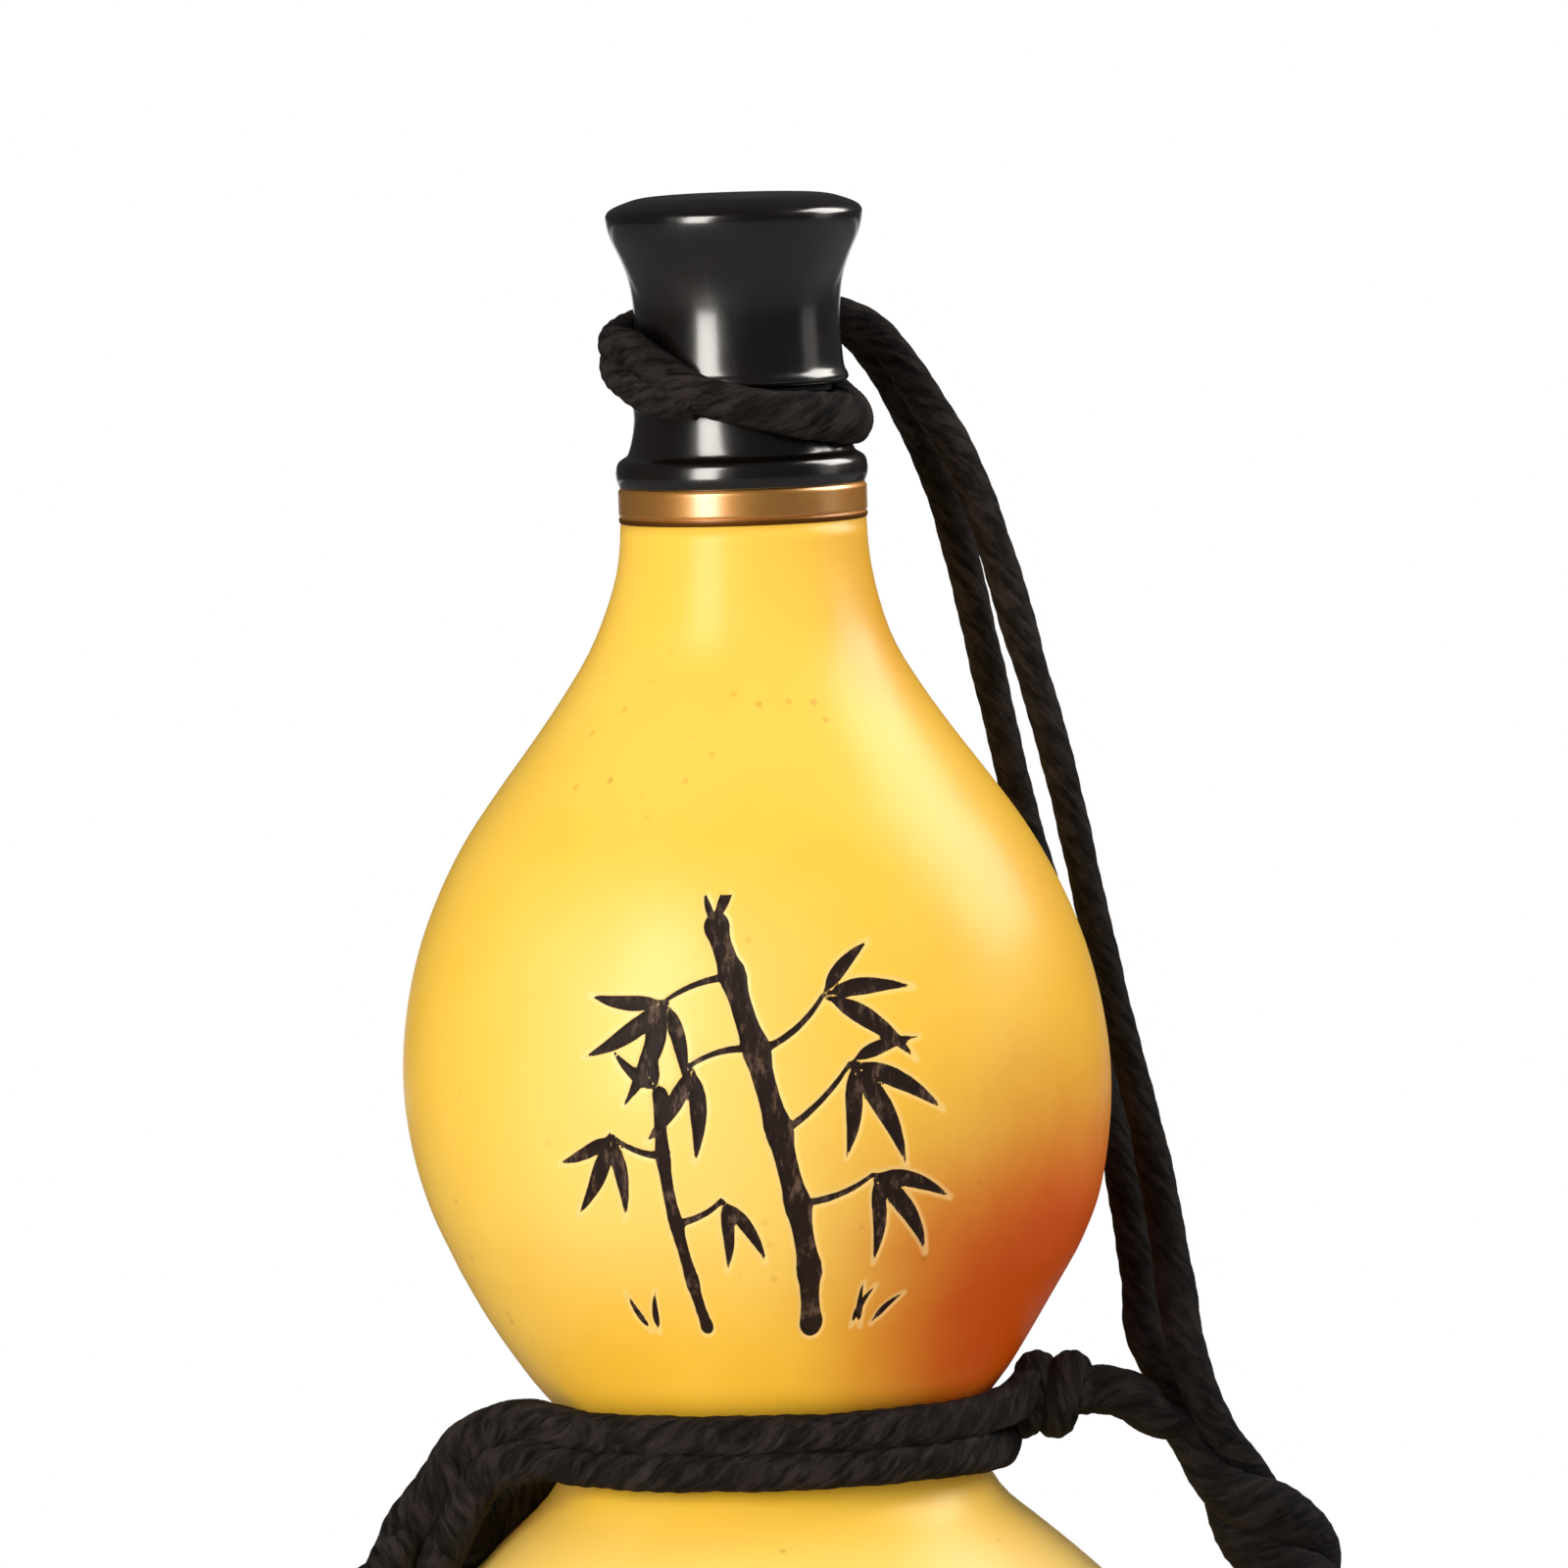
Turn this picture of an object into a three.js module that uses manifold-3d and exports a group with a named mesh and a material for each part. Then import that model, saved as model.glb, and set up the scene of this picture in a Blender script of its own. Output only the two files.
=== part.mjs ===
// Gourd bottle with a screwed stopper, a cord lanyard and a carrying strap.
// Millimetres, +Z up. The origin is the middle of the flat base.
// +X is the bottle's right and -Y its front.

import * as THREE from 'three';
import { mergeVertices } from 'three/addons/utils/BufferGeometryUtils.js';
import Module from 'manifold-3d';

const wasm = await Module();
wasm.setup();

// Fits
const GAP = 0.3;                 // space left between pieces that touch
const GOURD_SIDES = 48;          // facets round the gourd
const TURNED_SIDES = 40;         // and round the turned pieces

// Gourd
const LOWER_RADIUS = 49;         // widest radius of the lower bulb
const LOWER_HEIGHT = 46;         // height of its widest ring
const LOWER_RISE = 50.6;         // half height of the oval above that ring
const LOWER_DROP = 48.8;         // and below it, where the base cuts it flat
const LOWER_FROM = -62;          // the oval's angles at its lowest and highest rings
const LOWER_TO = 56;
const LOWER_RINGS = 8;
const WAIST_RADIUS = 21;
const WAIST_HEIGHT = 97.7;
const NECK_RADIUS = 12.55;
const NECK_TOP = 191;
const WALL = 3.5;                // dried rind and pulp
const NECK_BORE = 9;             // drilled for the collar's spigot
const NECK_BORE_DEPTH = 14;

// Upper bulb and neck, radius and height of the rings that set the outline
const UPPER_OUTLINE = [
  [21.6, 100.2],
  [24, 103.2],
  [29.05, 111],
  [33.95, 121],
  [36.1, 134.5],
  [33.9, 148],
  [28.75, 159],
  [21.45, 169],
  [15.55, 178],
  [13, 186],
  [NECK_RADIUS, NECK_TOP],
];

// Brass ring between the neck and the collar
const RING_RADIUS = 12.7;
const RING_HEIGHT = 3.1;

// Collar with its flange and spigot
const COLLAR_BOTTOM = NECK_TOP + 2 * GAP + RING_HEIGHT;
const COLLAR_TOP = 203.9;
const FLANGE_RADIUS = 13;
const SPIGOT_LENGTH = 12.5;
const MOUTH_RADIUS = 6.6;        // core of the female thread

// Stopper
const CAP_BOTTOM = 204.9;
const CAP_TOP = 224.2;
const RIM_RADIUS = 13.1;
const GRIP_RADIUS = 10.5;
const PLUG_RADIUS = 5.6;         // core of the male thread
const PLUG_LENGTH = 9.2;
const TENON_RADIUS = 4;
const TENON_LENGTH = 5.3;
const WASHER_INNER = 6.9;
const WASHER_OUTER = 9.4;

// Cord
const CORD = 3.6;                // where it hangs free
const HELD_CORD = 3.6;           // where it is pulled tight on the bottle
const LOOP_CORD = 3;             // and flattened against the stopper
const ROPE = 9.2;                // three strands twisted together
const STRAND_OFFSET = 2.35;      // from the rope's middle to each strand's
const FORK_RUN = 2.2;            // straight end of a strand that meets the rope
const CORD_SIDES = 8;
const ROPE_SIDES = 10;
const CORD_STEP = 6;             // spacing of the rings along a hanging cord
const ROPE_STEP = 8.5;           // along the strap
const LASH_STEP = 4.5;           // round the waist
const LOOP_STEP = 3.4;           // and round the stopper

// Waist lashing
const LASH_RADIUS = 23.9;        // middle of the cord round the waist
const LASH_SPLIT = 1.95;         // half the distance between the two front strands

// Cord loop round the stopper
const LOOP_RADIUS = 13;

// Its one turn, high on the left and low on the right, and the hitch that closes
// it: the cord's second strand comes round the left below and ends under the turn
const LOOP_HEIGHTS = [210.2, 210.6, 209.4, 208.8, 204.5, 202.5, 201.4, 200.7, 203, 207.5];
const HITCH_HEIGHTS = [206.9, 207.2, 207.6, 207.4, 206.2, 204.4, 203.8];

// Carrying strap, from the fork at the waist knot to the fork on the left
const STRAP_ROUTE = [
  [44, 2.3, 95.6],
  [45.4, 2.4, 93.7],
  [48.3, 2.8, 89.9],
  [50.9, 3.3, 85.8],
  [53.4, 4.2, 80],
  [55.3, 5.6, 71],
  [56.4, 8, 58],
  [56.8, 11.4, 44],
  [56.6, 16.2, 31],
  [56, 23, 19],
  [55, 32.4, 10],
  [53.7, 44, 5.5],
  [51.8, 57, 4.7],
  [47.6, 70.5, 4.7],
  [40.4, 83, 4.7],
  [30, 93.5, 4.7],
  [16.8, 100.6, 4.7],
  [2, 103.6, 4.7],
  [-13.2, 102, 4.7],
  [-27.4, 96.2, 4.7],
  [-39.4, 86.4, 4.7],
  [-47.8, 73.4, 4.7],
  [-52.2, 58.6, 4.7],
  [-54, 45, 5.5],
  [-54.8, 33, 10],
  [-55.2, 22.6, 19],
  [-55.6, 14, 30.5],
  [-55.6, 7, 42],
  [-54.4, 1, 53.5],
  [-51.6, -4, 64],
  [-47.2, -7.6, 72.8],
  [-42.6, -9.4, 79.2],
  [-39.3, -9.6, 83.4],
  [-37.5, -9.1, 85.8],
  [-36.2, -8.5, 87.9],
];

// Lanyard strands, from the knot behind the stopper to the fork at the strap
const LANYARD_FRONT = [
  [5.4, 14.6, 211.4],
  [8.2, 14.5, 211.4],
  [11.1, 14.4, 210.8],
  [13.9, 14.2, 209.2],
  [16.2, 14.1, 206.6],
  [18.9, 14, 202.2],
  [21.6, 13.9, 197.7],
  [23.5, 13.8, 193.4],
  [25.9, 13.6, 186],
  [28.5, 13.3, 176],
  [30.6, 13.1, 168],
  [32.4, 12.9, 160],
  [34.1, 12.7, 151],
  [35.6, 12.3, 143],
  [37.4, 11.3, 135],
  [39.2, 9.3, 127],
  [40.6, 6.9, 119],
  [41.8, 4.7, 111.5],
  [42.8, 2.6, 105],
];
const LANYARD_REAR = [
  [5.4, 18.9, 211.4],
  [7.8, 18.9, 211.2],
  [10.3, 18.9, 210.3],
  [12.6, 18.8, 208.5],
  [14.5, 18.8, 206],
  [16.6, 18.9, 202],
  [18.6, 19, 197.8],
  [20.3, 19.1, 193.4],
  [22.2, 19.3, 186],
  [24.2, 19.5, 176],
  [25.8, 19.7, 168],
  [27.4, 19.8, 160],
  [29.7, 19.8, 151],
  [31.9, 19.6, 143],
  [33.8, 18.7, 135],
  [35.3, 16.4, 127],
  [36.6, 13.2, 119],
  [37.6, 9.9, 111.5],
  [38.4, 7.4, 105.4],
];

// Strand from the waist knot to the fork at the strap
const KNOT_TAIL = [
  [31.2, -0.8, 101.5],
  [34, -0.8, 101.4],
  [36.8, -0.5, 100.3],
  [39.1, 0.1, 98.3],
];

// The front strands' ends on the left, between the waist and the strap
const UPPER_LEFT = [
  [-25, -10.2, 100.3],
  [-28.6, -9.1, 99.8],
  [-31.7, -8.7, 98.3],
  [-34.1, -8.7, 95.6],
];
const LOWER_LEFT = [
  [-23.4, -11, 96],
  [-26.6, -9.7, 95.8],
  [-29.2, -9.1, 94.7],
  [-31.2, -8.9, 92.6],
];
const REAR_LEFT = [
  [-22.8, 9.8, 96.2],
  [-25.8, 5.8, 93.8],
  [-29.4, 0.8, 91.2],
  [-32.6, -3, 90.3],
];

// All three strands' ends on the right, going into the knot
const UPPER_RIGHT = [
  [24.8, -5, 100.3],
  [26.8, -2.4, 101.5],
];
const LOWER_RIGHT = [
  [24.7, -5.1, 96.1],
  [26.7, -2.5, 97.1],
];
const REAR_RIGHT = [
  [24.8, 5.3, 98.4],
  [26.8, 2.4, 99.4],
];

const lacquer = new THREE.MeshStandardMaterial({ color: 0xe8a33a, roughness: 0.35 });
const brass = new THREE.MeshStandardMaterial({ color: 0xd9a441, roughness: 0.25, metalness: 1 });
const black = new THREE.MeshStandardMaterial({ color: 0x17120f, roughness: 0.15 });
const rubber = new THREE.MeshStandardMaterial({ color: 0x2a2826, roughness: 0.8 });
const cotton = new THREE.MeshStandardMaterial({ color: 0x151312, roughness: 0.95 });

const bottle = new THREE.Group();

function addMesh(name, geometry, material) {
  const mesh = new THREE.Mesh(geometry, material);
  mesh.name = name;
  bottle.add(mesh);
  return mesh;
}

// A turned piece from its profile of [radius, height] pairs, taken up the outside
function turned(profile, sides = TURNED_SIDES) {
  const points = profile.map(([r, z]) => new THREE.Vector2(r, z));
  const geometry = new THREE.LatheGeometry(points, sides);
  geometry.rotateX(Math.PI / 2);
  return geometry;
}

// Samples of a smooth outline through [radius, height] rings
function smoothOutline(rings, perSpan) {
  const points = rings.map(([r, z]) => new THREE.Vector3(r, z, 0));
  const curve = new THREE.CatmullRomCurve3(points, false, 'centripetal');
  return curve.getPoints(perSpan * (rings.length - 1)).map((p) => [p.x, p.y]);
}

// The same outline moved inwards by a wall
function insideOf(outline, wall) {
  return outline.map(([r, z], i) => {
    const [r0, z0] = outline[Math.max(i - 1, 0)];
    const [r1, z1] = outline[Math.min(i + 1, outline.length - 1)];
    const length = Math.hypot(r1 - r0, z1 - z0);
    return [r - (wall * (z1 - z0)) / length, z + (wall * (r1 - r0)) / length];
  });
}

function curveThrough(route) {
  const points = route.map(([x, y, z]) => new THREE.Vector3(x, y, z));
  return new THREE.CatmullRomCurve3(points, false, 'centripetal');
}

// A round cord of one diameter along a route
function cordAlong(route, diameter, sides, step) {
  const curve = curveThrough(route);
  const section = [];
  for (let i = 0; i < sides; i += 1) {
    const turn = (2 * Math.PI * i) / sides;
    section.push(new THREE.Vector2(Math.cos(turn), Math.sin(turn)).multiplyScalar(diameter / 2));
  }
  return new THREE.ExtrudeGeometry(new THREE.Shape(section), {
    steps: Math.round(curve.getLength() / step),
    extrudePath: curve,
    bevelEnabled: false,
  });
}

// Points on a level arc round the bottle, angles in degrees from +X towards +Y
function arcRound(radius, height, from, to, count) {
  const points = [];
  for (let i = 0; i < count; i += 1) {
    const turn = THREE.MathUtils.degToRad(from + ((to - from) * i) / (count - 1));
    points.push([radius * Math.cos(turn), radius * Math.sin(turn), height]);
  }
  return points;
}

function oval(centre, halfSizes) {
  const geometry = new THREE.SphereGeometry(1, 16, 10);
  geometry.scale(...halfSizes);
  geometry.translate(...centre);
  return geometry;
}

function toSolid(geometry) {
  const bare = geometry.clone();
  bare.deleteAttribute('normal');
  bare.deleteAttribute('uv');
  const merged = mergeVertices(bare, 1e-4);
  return new wasm.Manifold(new wasm.Mesh({
    numProp: 3,
    vertProperties: Float32Array.from(merged.attributes.position.array),
    triVerts: Uint32Array.from(merged.index.array),
  }));
}

function fromSolid(solid) {
  const mesh = solid.getMesh();
  const geometry = new THREE.BufferGeometry();
  geometry.setAttribute('position', new THREE.BufferAttribute(mesh.vertProperties, 3));
  geometry.setIndex(new THREE.BufferAttribute(mesh.triVerts, 1));
  geometry.computeVertexNormals();
  return geometry;
}

// The room that a cord needs in the knot it runs into: wider and longer by the gap
function socketFor(route, diameter, step) {
  const curve = curveThrough(route);
  const before = curve.getPoint(0).addScaledVector(curve.getTangent(0), -GAP);
  const after = curve.getPoint(1).addScaledVector(curve.getTangent(1), GAP);
  const longer = [before.toArray(), ...route, after.toArray()];
  return cordAlong(longer, diameter + 2 * GAP, CORD_SIDES, step);
}

// Several geometries as one solid, less the sockets for strands that run into it
function joined(lumps, sockets = []) {
  const body = lumps.map(toSolid).reduce((sum, lump) => sum.add(lump));
  return fromSolid(sockets.map(toSolid).reduce((rest, socket) => rest.subtract(socket), body));
}

// Where the three strands below, above and behind the rope's middle meet its
// end. Each runs straight along the rope for FORK_RUN and stops short of its face.
function forkEnds(rope, next) {
  const end = new THREE.Vector3(...rope);
  const away = end.clone().sub(new THREE.Vector3(...next)).normalize();
  const behind = new THREE.Vector3(0, 1, 0).projectOnPlane(away).normalize();
  const above = behind.clone().cross(away);
  above.multiplyScalar(Math.sign(above.z));
  const place = (up, back) => [FORK_RUN, GAP].map((distance) => end.clone()
    .addScaledVector(away, distance)
    .addScaledVector(above, up * STRAND_OFFSET)
    .addScaledVector(behind, back * STRAND_OFFSET)
    .toArray());
  const side = Math.sqrt(3) / 2;
  return { below: place(-side, -0.5), above: place(side, -0.5), behind: place(0, 1) };
}

function gourdShell() {
  const lower = [];
  for (let i = 0; i < LOWER_RINGS; i += 1) {
    const degrees = LOWER_FROM + ((LOWER_TO - LOWER_FROM) * i) / (LOWER_RINGS - 1);
    const turn = THREE.MathUtils.degToRad(degrees);
    const half = degrees < 0 ? LOWER_DROP : LOWER_RISE;
    lower.push([LOWER_RADIUS * Math.cos(turn), LOWER_HEIGHT + half * Math.sin(turn)]);
  }
  const baseRadius = LOWER_RADIUS * Math.sqrt(1 - (LOWER_HEIGHT / LOWER_DROP) ** 2);
  const shoulder = [23.7, 91];
  const underWaist = [21.5, 94.6];
  const waist = [WAIST_RADIUS, WAIST_HEIGHT];
  const rings = [[baseRadius, 0], ...lower, shoulder, underWaist, waist, ...UPPER_OUTLINE];
  const outside = smoothOutline(rings, 2);
  const boreStart = NECK_TOP - NECK_BORE_DEPTH;
  const inside = insideOf(outside, WALL).filter(([r, z]) => z > WALL && z < boreStart && r > NECK_BORE);
  const hollow = [
    [NECK_BORE, NECK_TOP],
    [NECK_BORE, boreStart],
    ...inside.reverse().filter((ring, i) => i % 2 === 0),
    [0, WALL + 1],
  ];
  return turned([[0, 0], ...outside, ...hollow], GOURD_SIDES);
}

function brassRing() {
  const low = NECK_TOP + GAP;
  const high = low + RING_HEIGHT;
  const edge = 0.35;
  return turned([
    [NECK_BORE, low],
    [RING_RADIUS - edge, low],
    [RING_RADIUS, low + edge],
    [RING_RADIUS, high - edge],
    [RING_RADIUS - edge, high],
    [NECK_BORE, high],
    [NECK_BORE, low],
  ]);
}

function mouthCollar() {
  const spigot = NECK_BORE - GAP;
  const spigotEnd = COLLAR_BOTTOM - SPIGOT_LENGTH;
  const flange = smoothOutline([
    [FLANGE_RADIUS - 0.5, COLLAR_BOTTOM],
    [FLANGE_RADIUS, COLLAR_BOTTOM + 0.9],
    [FLANGE_RADIUS - 0.4, COLLAR_BOTTOM + 2.2],
    [FLANGE_RADIUS - 1.3, COLLAR_BOTTOM + 3.1],
    [11.2, COLLAR_BOTTOM + 4.6],
    [10.9, COLLAR_BOTTOM + 6.4],
    [10.9, COLLAR_TOP - 0.9],
    [10.5, COLLAR_TOP],
  ], 2);
  return turned([
    [MOUTH_RADIUS, spigotEnd],
    [spigot - 0.5, spigotEnd],
    [spigot, spigotEnd + 0.5],
    [spigot, COLLAR_BOTTOM],
    ...flange,
    [MOUTH_RADIUS + 0.5, COLLAR_TOP],
    [MOUTH_RADIUS, COLLAR_TOP - 0.5],
    [MOUTH_RADIUS, spigotEnd],
  ]);
}

function stopperCap() {
  const socket = TENON_RADIUS + GAP;
  const side = smoothOutline([
    [GRIP_RADIUS - 0.2, CAP_BOTTOM],
    [GRIP_RADIUS + 0.35, CAP_BOTTOM + 0.5],
    [GRIP_RADIUS + 0.4, CAP_BOTTOM + 1.2],
    [GRIP_RADIUS + 0.1, CAP_BOTTOM + 2.4],
    [GRIP_RADIUS, CAP_BOTTOM + 5],
    [GRIP_RADIUS + 0.1, CAP_BOTTOM + 8.5],
    [GRIP_RADIUS + 0.5, CAP_BOTTOM + 11],
    [GRIP_RADIUS + 1.3, CAP_BOTTOM + 13.2],
    [RIM_RADIUS - 0.4, CAP_BOTTOM + 15.2],
    [RIM_RADIUS, CAP_TOP - 2.6],
    [RIM_RADIUS - 0.2, CAP_TOP - 1.8],
    [RIM_RADIUS - 1, CAP_TOP - 1.2],
    [RIM_RADIUS - 2.8, CAP_TOP - 0.5],
    [RIM_RADIUS - 5, CAP_TOP - 0.1],
  ], 2);
  return turned([
    [0, CAP_BOTTOM + TENON_LENGTH + GAP],
    [socket, CAP_BOTTOM + TENON_LENGTH + GAP],
    [socket, CAP_BOTTOM],
    ...side,
    [0, CAP_TOP],
  ]);
}

function stopperPlug() {
  const shoulder = CAP_BOTTOM - GAP;
  const end = shoulder - PLUG_LENGTH;
  return turned([
    [0, end],
    [PLUG_RADIUS - 0.8, end],
    [PLUG_RADIUS, end + 0.8],
    [PLUG_RADIUS, shoulder],
    [TENON_RADIUS, shoulder],
    [TENON_RADIUS, CAP_BOTTOM + TENON_LENGTH],
    [0, CAP_BOTTOM + TENON_LENGTH],
  ]);
}

function sealWasher() {
  const low = COLLAR_TOP + 0.2;
  const high = CAP_BOTTOM - 0.2;
  return turned([
    [WASHER_INNER, low],
    [WASHER_OUTER, low],
    [WASHER_OUTER, high],
    [WASHER_INNER, high],
    [WASHER_INNER, low],
  ]);
}

// A strand round the stopper, through heights at even steps between two angles
function roundStopper(heights, from, to) {
  return heights.map((height, i) => {
    const turn = THREE.MathUtils.degToRad(from + ((to - from) * i) / (heights.length - 1));
    return [LOOP_RADIUS * Math.cos(turn), LOOP_RADIUS * Math.sin(turn), height];
  });
}

const loopRoute = roundStopper(LOOP_HEIGHTS, 100, 440);
const hitchRoute = roundStopper(HITCH_HEIGHTS, 102, 252);
const strapStart = forkEnds(STRAP_ROUTE[0], STRAP_ROUTE[1]);
const strapEnd = forkEnds(STRAP_ROUTE.at(-1), STRAP_ROUTE.at(-2));
const upperHeight = WAIST_HEIGHT + LASH_SPLIT;
const lowerHeight = WAIST_HEIGHT - LASH_SPLIT;

const upperRoute = [
  ...strapEnd.above.toReversed(),
  ...UPPER_LEFT.toReversed(),
  ...arcRound(LASH_RADIUS, upperHeight, 213, 330, 9),
  ...UPPER_RIGHT,
];
const lowerRoute = [
  ...strapEnd.below.toReversed(),
  ...LOWER_LEFT.toReversed(),
  ...arcRound(LASH_RADIUS, lowerHeight, 213, 330, 9),
  ...LOWER_RIGHT,
];
const rearRoute = [
  ...strapEnd.behind.toReversed(),
  ...REAR_LEFT.toReversed(),
  ...arcRound(LASH_RADIUS, WAIST_HEIGHT, 147, 30, 9),
  ...REAR_RIGHT,
];
const lanyardFront = [...LANYARD_FRONT, ...strapStart.above];
const lanyardRear = [...LANYARD_REAR, ...strapStart.behind];

addMesh('gourd_shell', gourdShell(), lacquer);
addMesh('brass_ring', brassRing(), brass);
addMesh('mouth_collar', mouthCollar(), black);
addMesh('stopper_cap', stopperCap(), black);
addMesh('stopper_plug', stopperPlug(), black);
addMesh('seal_washer', sealWasher(), rubber);

addMesh('stopper_loop', joined([
  cordAlong(loopRoute, LOOP_CORD, CORD_SIDES, LOOP_STEP),
  cordAlong(hitchRoute, LOOP_CORD, CORD_SIDES, LOOP_STEP),
]), cotton);
addMesh('stopper_knot', joined(
  [
    oval([0.6, 15.6, 209.6], [4.6, 4.2, 4.4]),
    oval([4.8, 16.6, 211.2], [3, 4.6, 3.2]),
  ],
  [
    socketFor(loopRoute, LOOP_CORD, LOOP_STEP),
    socketFor(hitchRoute, LOOP_CORD, LOOP_STEP),
    socketFor(lanyardFront, CORD, CORD_STEP),
    socketFor(lanyardRear, CORD, CORD_STEP),
  ],
), cotton);
addMesh('lanyard_front', cordAlong(lanyardFront, CORD, CORD_SIDES, CORD_STEP), cotton);
addMesh('lanyard_rear', cordAlong(lanyardRear, CORD, CORD_SIDES, CORD_STEP), cotton);

addMesh('waist_cord_upper', cordAlong(upperRoute, HELD_CORD, CORD_SIDES, LASH_STEP), cotton);
addMesh('waist_cord_lower', cordAlong(lowerRoute, HELD_CORD, CORD_SIDES, LASH_STEP), cotton);
addMesh('waist_cord_rear', cordAlong(rearRoute, HELD_CORD, CORD_SIDES, LASH_STEP), cotton);
addMesh('waist_knot', joined(
  [
    oval([27.8, -0.7, 101.1], [3.5, 4.1, 4.6]),
    oval([32, -0.7, 101.9], [2.8, 3.2, 3.3]),
    cordAlong([...KNOT_TAIL, ...strapStart.below], CORD, CORD_SIDES, LOOP_STEP),
  ],
  [
    socketFor(upperRoute, HELD_CORD, LASH_STEP),
    socketFor(lowerRoute, HELD_CORD, LASH_STEP),
    socketFor(rearRoute, HELD_CORD, LASH_STEP),
  ],
), cotton);
addMesh('carry_strap', cordAlong(STRAP_ROUTE, ROPE, ROPE_SIDES, ROPE_STEP), cotton);

export default bottle;
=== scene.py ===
"""Gourd bottle: lacquered gourd, brass ring, black screwed stopper, cotton cords."""
import math

import bpy
import numpy as np
from mathutils import Matrix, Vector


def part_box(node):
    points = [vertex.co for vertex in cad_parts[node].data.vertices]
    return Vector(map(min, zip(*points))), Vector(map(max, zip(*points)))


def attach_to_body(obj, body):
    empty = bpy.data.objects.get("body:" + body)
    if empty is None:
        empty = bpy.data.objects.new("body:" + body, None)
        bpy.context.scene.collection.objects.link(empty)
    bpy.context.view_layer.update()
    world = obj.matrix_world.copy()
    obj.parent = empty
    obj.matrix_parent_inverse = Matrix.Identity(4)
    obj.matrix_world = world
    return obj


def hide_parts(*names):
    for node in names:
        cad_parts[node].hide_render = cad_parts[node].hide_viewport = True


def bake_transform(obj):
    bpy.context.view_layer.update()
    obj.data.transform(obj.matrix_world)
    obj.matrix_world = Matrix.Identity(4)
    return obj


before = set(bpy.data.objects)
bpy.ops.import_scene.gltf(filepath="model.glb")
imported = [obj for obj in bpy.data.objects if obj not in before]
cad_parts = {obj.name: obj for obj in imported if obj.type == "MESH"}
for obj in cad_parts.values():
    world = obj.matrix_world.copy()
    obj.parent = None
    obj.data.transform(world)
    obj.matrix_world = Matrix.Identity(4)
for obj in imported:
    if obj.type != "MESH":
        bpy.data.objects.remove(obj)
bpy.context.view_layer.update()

MM = 0.001

# Photograph's frame
PHOTO_SIDE = 0.16                      # width of the picture at the bottle's axis
PHOTO_CENTRE = (0.00326, 0.0, 0.1639)  # point of the axis plane in the picture's middle
PHOTO_DISTANCE = 2.0
PHOTO_ELEVATION = math.radians(3.75)
PHOTO_ROLL = math.radians(1.85)        # the bottle's top leans to the left
SENSOR = 36.0

# Studio
SOFT_LIGHT = 0.69                      # the world's level as light
DIM_ROOM = 0.035                       # and as seen in a gloss, on the camera's side
FLOOR_RADIUS = 1.6
LAMP_COLOUR = (1.0, 0.96, 0.9)
LAMPS_LOOK_AT = (0, 0, 0.15)           # the upper bulb

# Cord, and the rope of three strands
CORD = 3.6 * MM
STRAND_STEP = 0.5 * MM                 # between the rings of a cord's surface
YARNS = 8
YARN_PITCH = 20 * MM
YARN_DEPTH = 0.08                      # depth of the valleys, as a share of the radius
CORD_RIPPLE = 0.035                    # unevenness of its thickness, also as a share
TUCKED = 0.93                          # share of the thickness that is left at a cord's ends
TUCK = 2.5 * MM                        # length over which it is lost
ROPE_PITCH = 27 * MM
ROPE_STEP = 0.7 * MM
ROPE_RIPPLE = 0.03                     # unevenness of the strands' offset
ROPE_SECTION = (1.85 * MM, 1.9 * MM)   # a strand's radii where the rope is tight
ROPE_OPENING = 0.42                    # growth of the strands' offset where it is slack
ROPE_SWELLING = 0.66                   # and of their thickness
ON_FLOOR = 0.02 * MM                   # lowest height of a strand that lies on the floor
STRAND_OFFSET = 1.95 * MM              # in the right fork, and more in the left one
LEFT_OFFSET = 2.35 * MM
FORK_RUN = 2.2 * MM                    # straight run of a fork's strand before the rope
FORK_OVERLAP = 1.5 * MM                # by which it runs into the rope

# Lanyard's strands, and their growth from one height in millimetres to another
LANYARD_RADIUS = 0.48 * CORD
LANYARD_GROWTH = [(0.14, 132, 116), (0.04, 116, 110), (0.08, 172, 182)]

# Waist lashing, knots and stopper loop
WAIST_HEIGHT = 97.7 * MM
LASH_RADIUS = 23.2 * MM
LASH_SPLIT = 1.78 * MM                 # of the front strands, up and down from the waist
LASH_SECTION = (2.1 * MM, 1.75 * MM)   # half height and half depth, as the cord is pulled flat
PRESSED = 0.68                         # power that squares a pressed cord's section
LOOSER = {"upper": 0.17, "lower": 0.17, "rear": 0.42}  # growth of a strand free of the waist
TAIL_GROWTH = 0.45                     # of the waist knot's tail, where it leaves the knot
TAIL_LOSS = 0.38                       # and how much of that is lost on its way
KNOT_TURNS = 2.3
KNOT_SECTION = (1.95 * MM, 2.05 * MM)
LOOP_SECTION = (1.6 * MM, 2.1 * MM)    # half depth and half height
LOOP_GROWTH = 0.22                     # at the stopper's right
LOOP_RADIUS = 12.2 * MM
LOOP_SHIFT = -0.5 * MM                 # of its middle, to the left
LOOP_TURN = (100, 440)                 # degrees from +X towards +Y that the loop covers
LOOP_HEIGHTS = [210.2, 210.6, 209.4, 208.8, 204.6, 202.5, 201.5, 201, 203.4, 207.5]
HITCH_TURN = (102, 252)
HITCH_HEIGHTS = [206.9, 207.2, 207.6, 207.4, 206.2, 204.4, 203.8]

# By how much the ring reaches into the gaps that the solids leave above and below it
SEAT = 0.27 * MM

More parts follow.
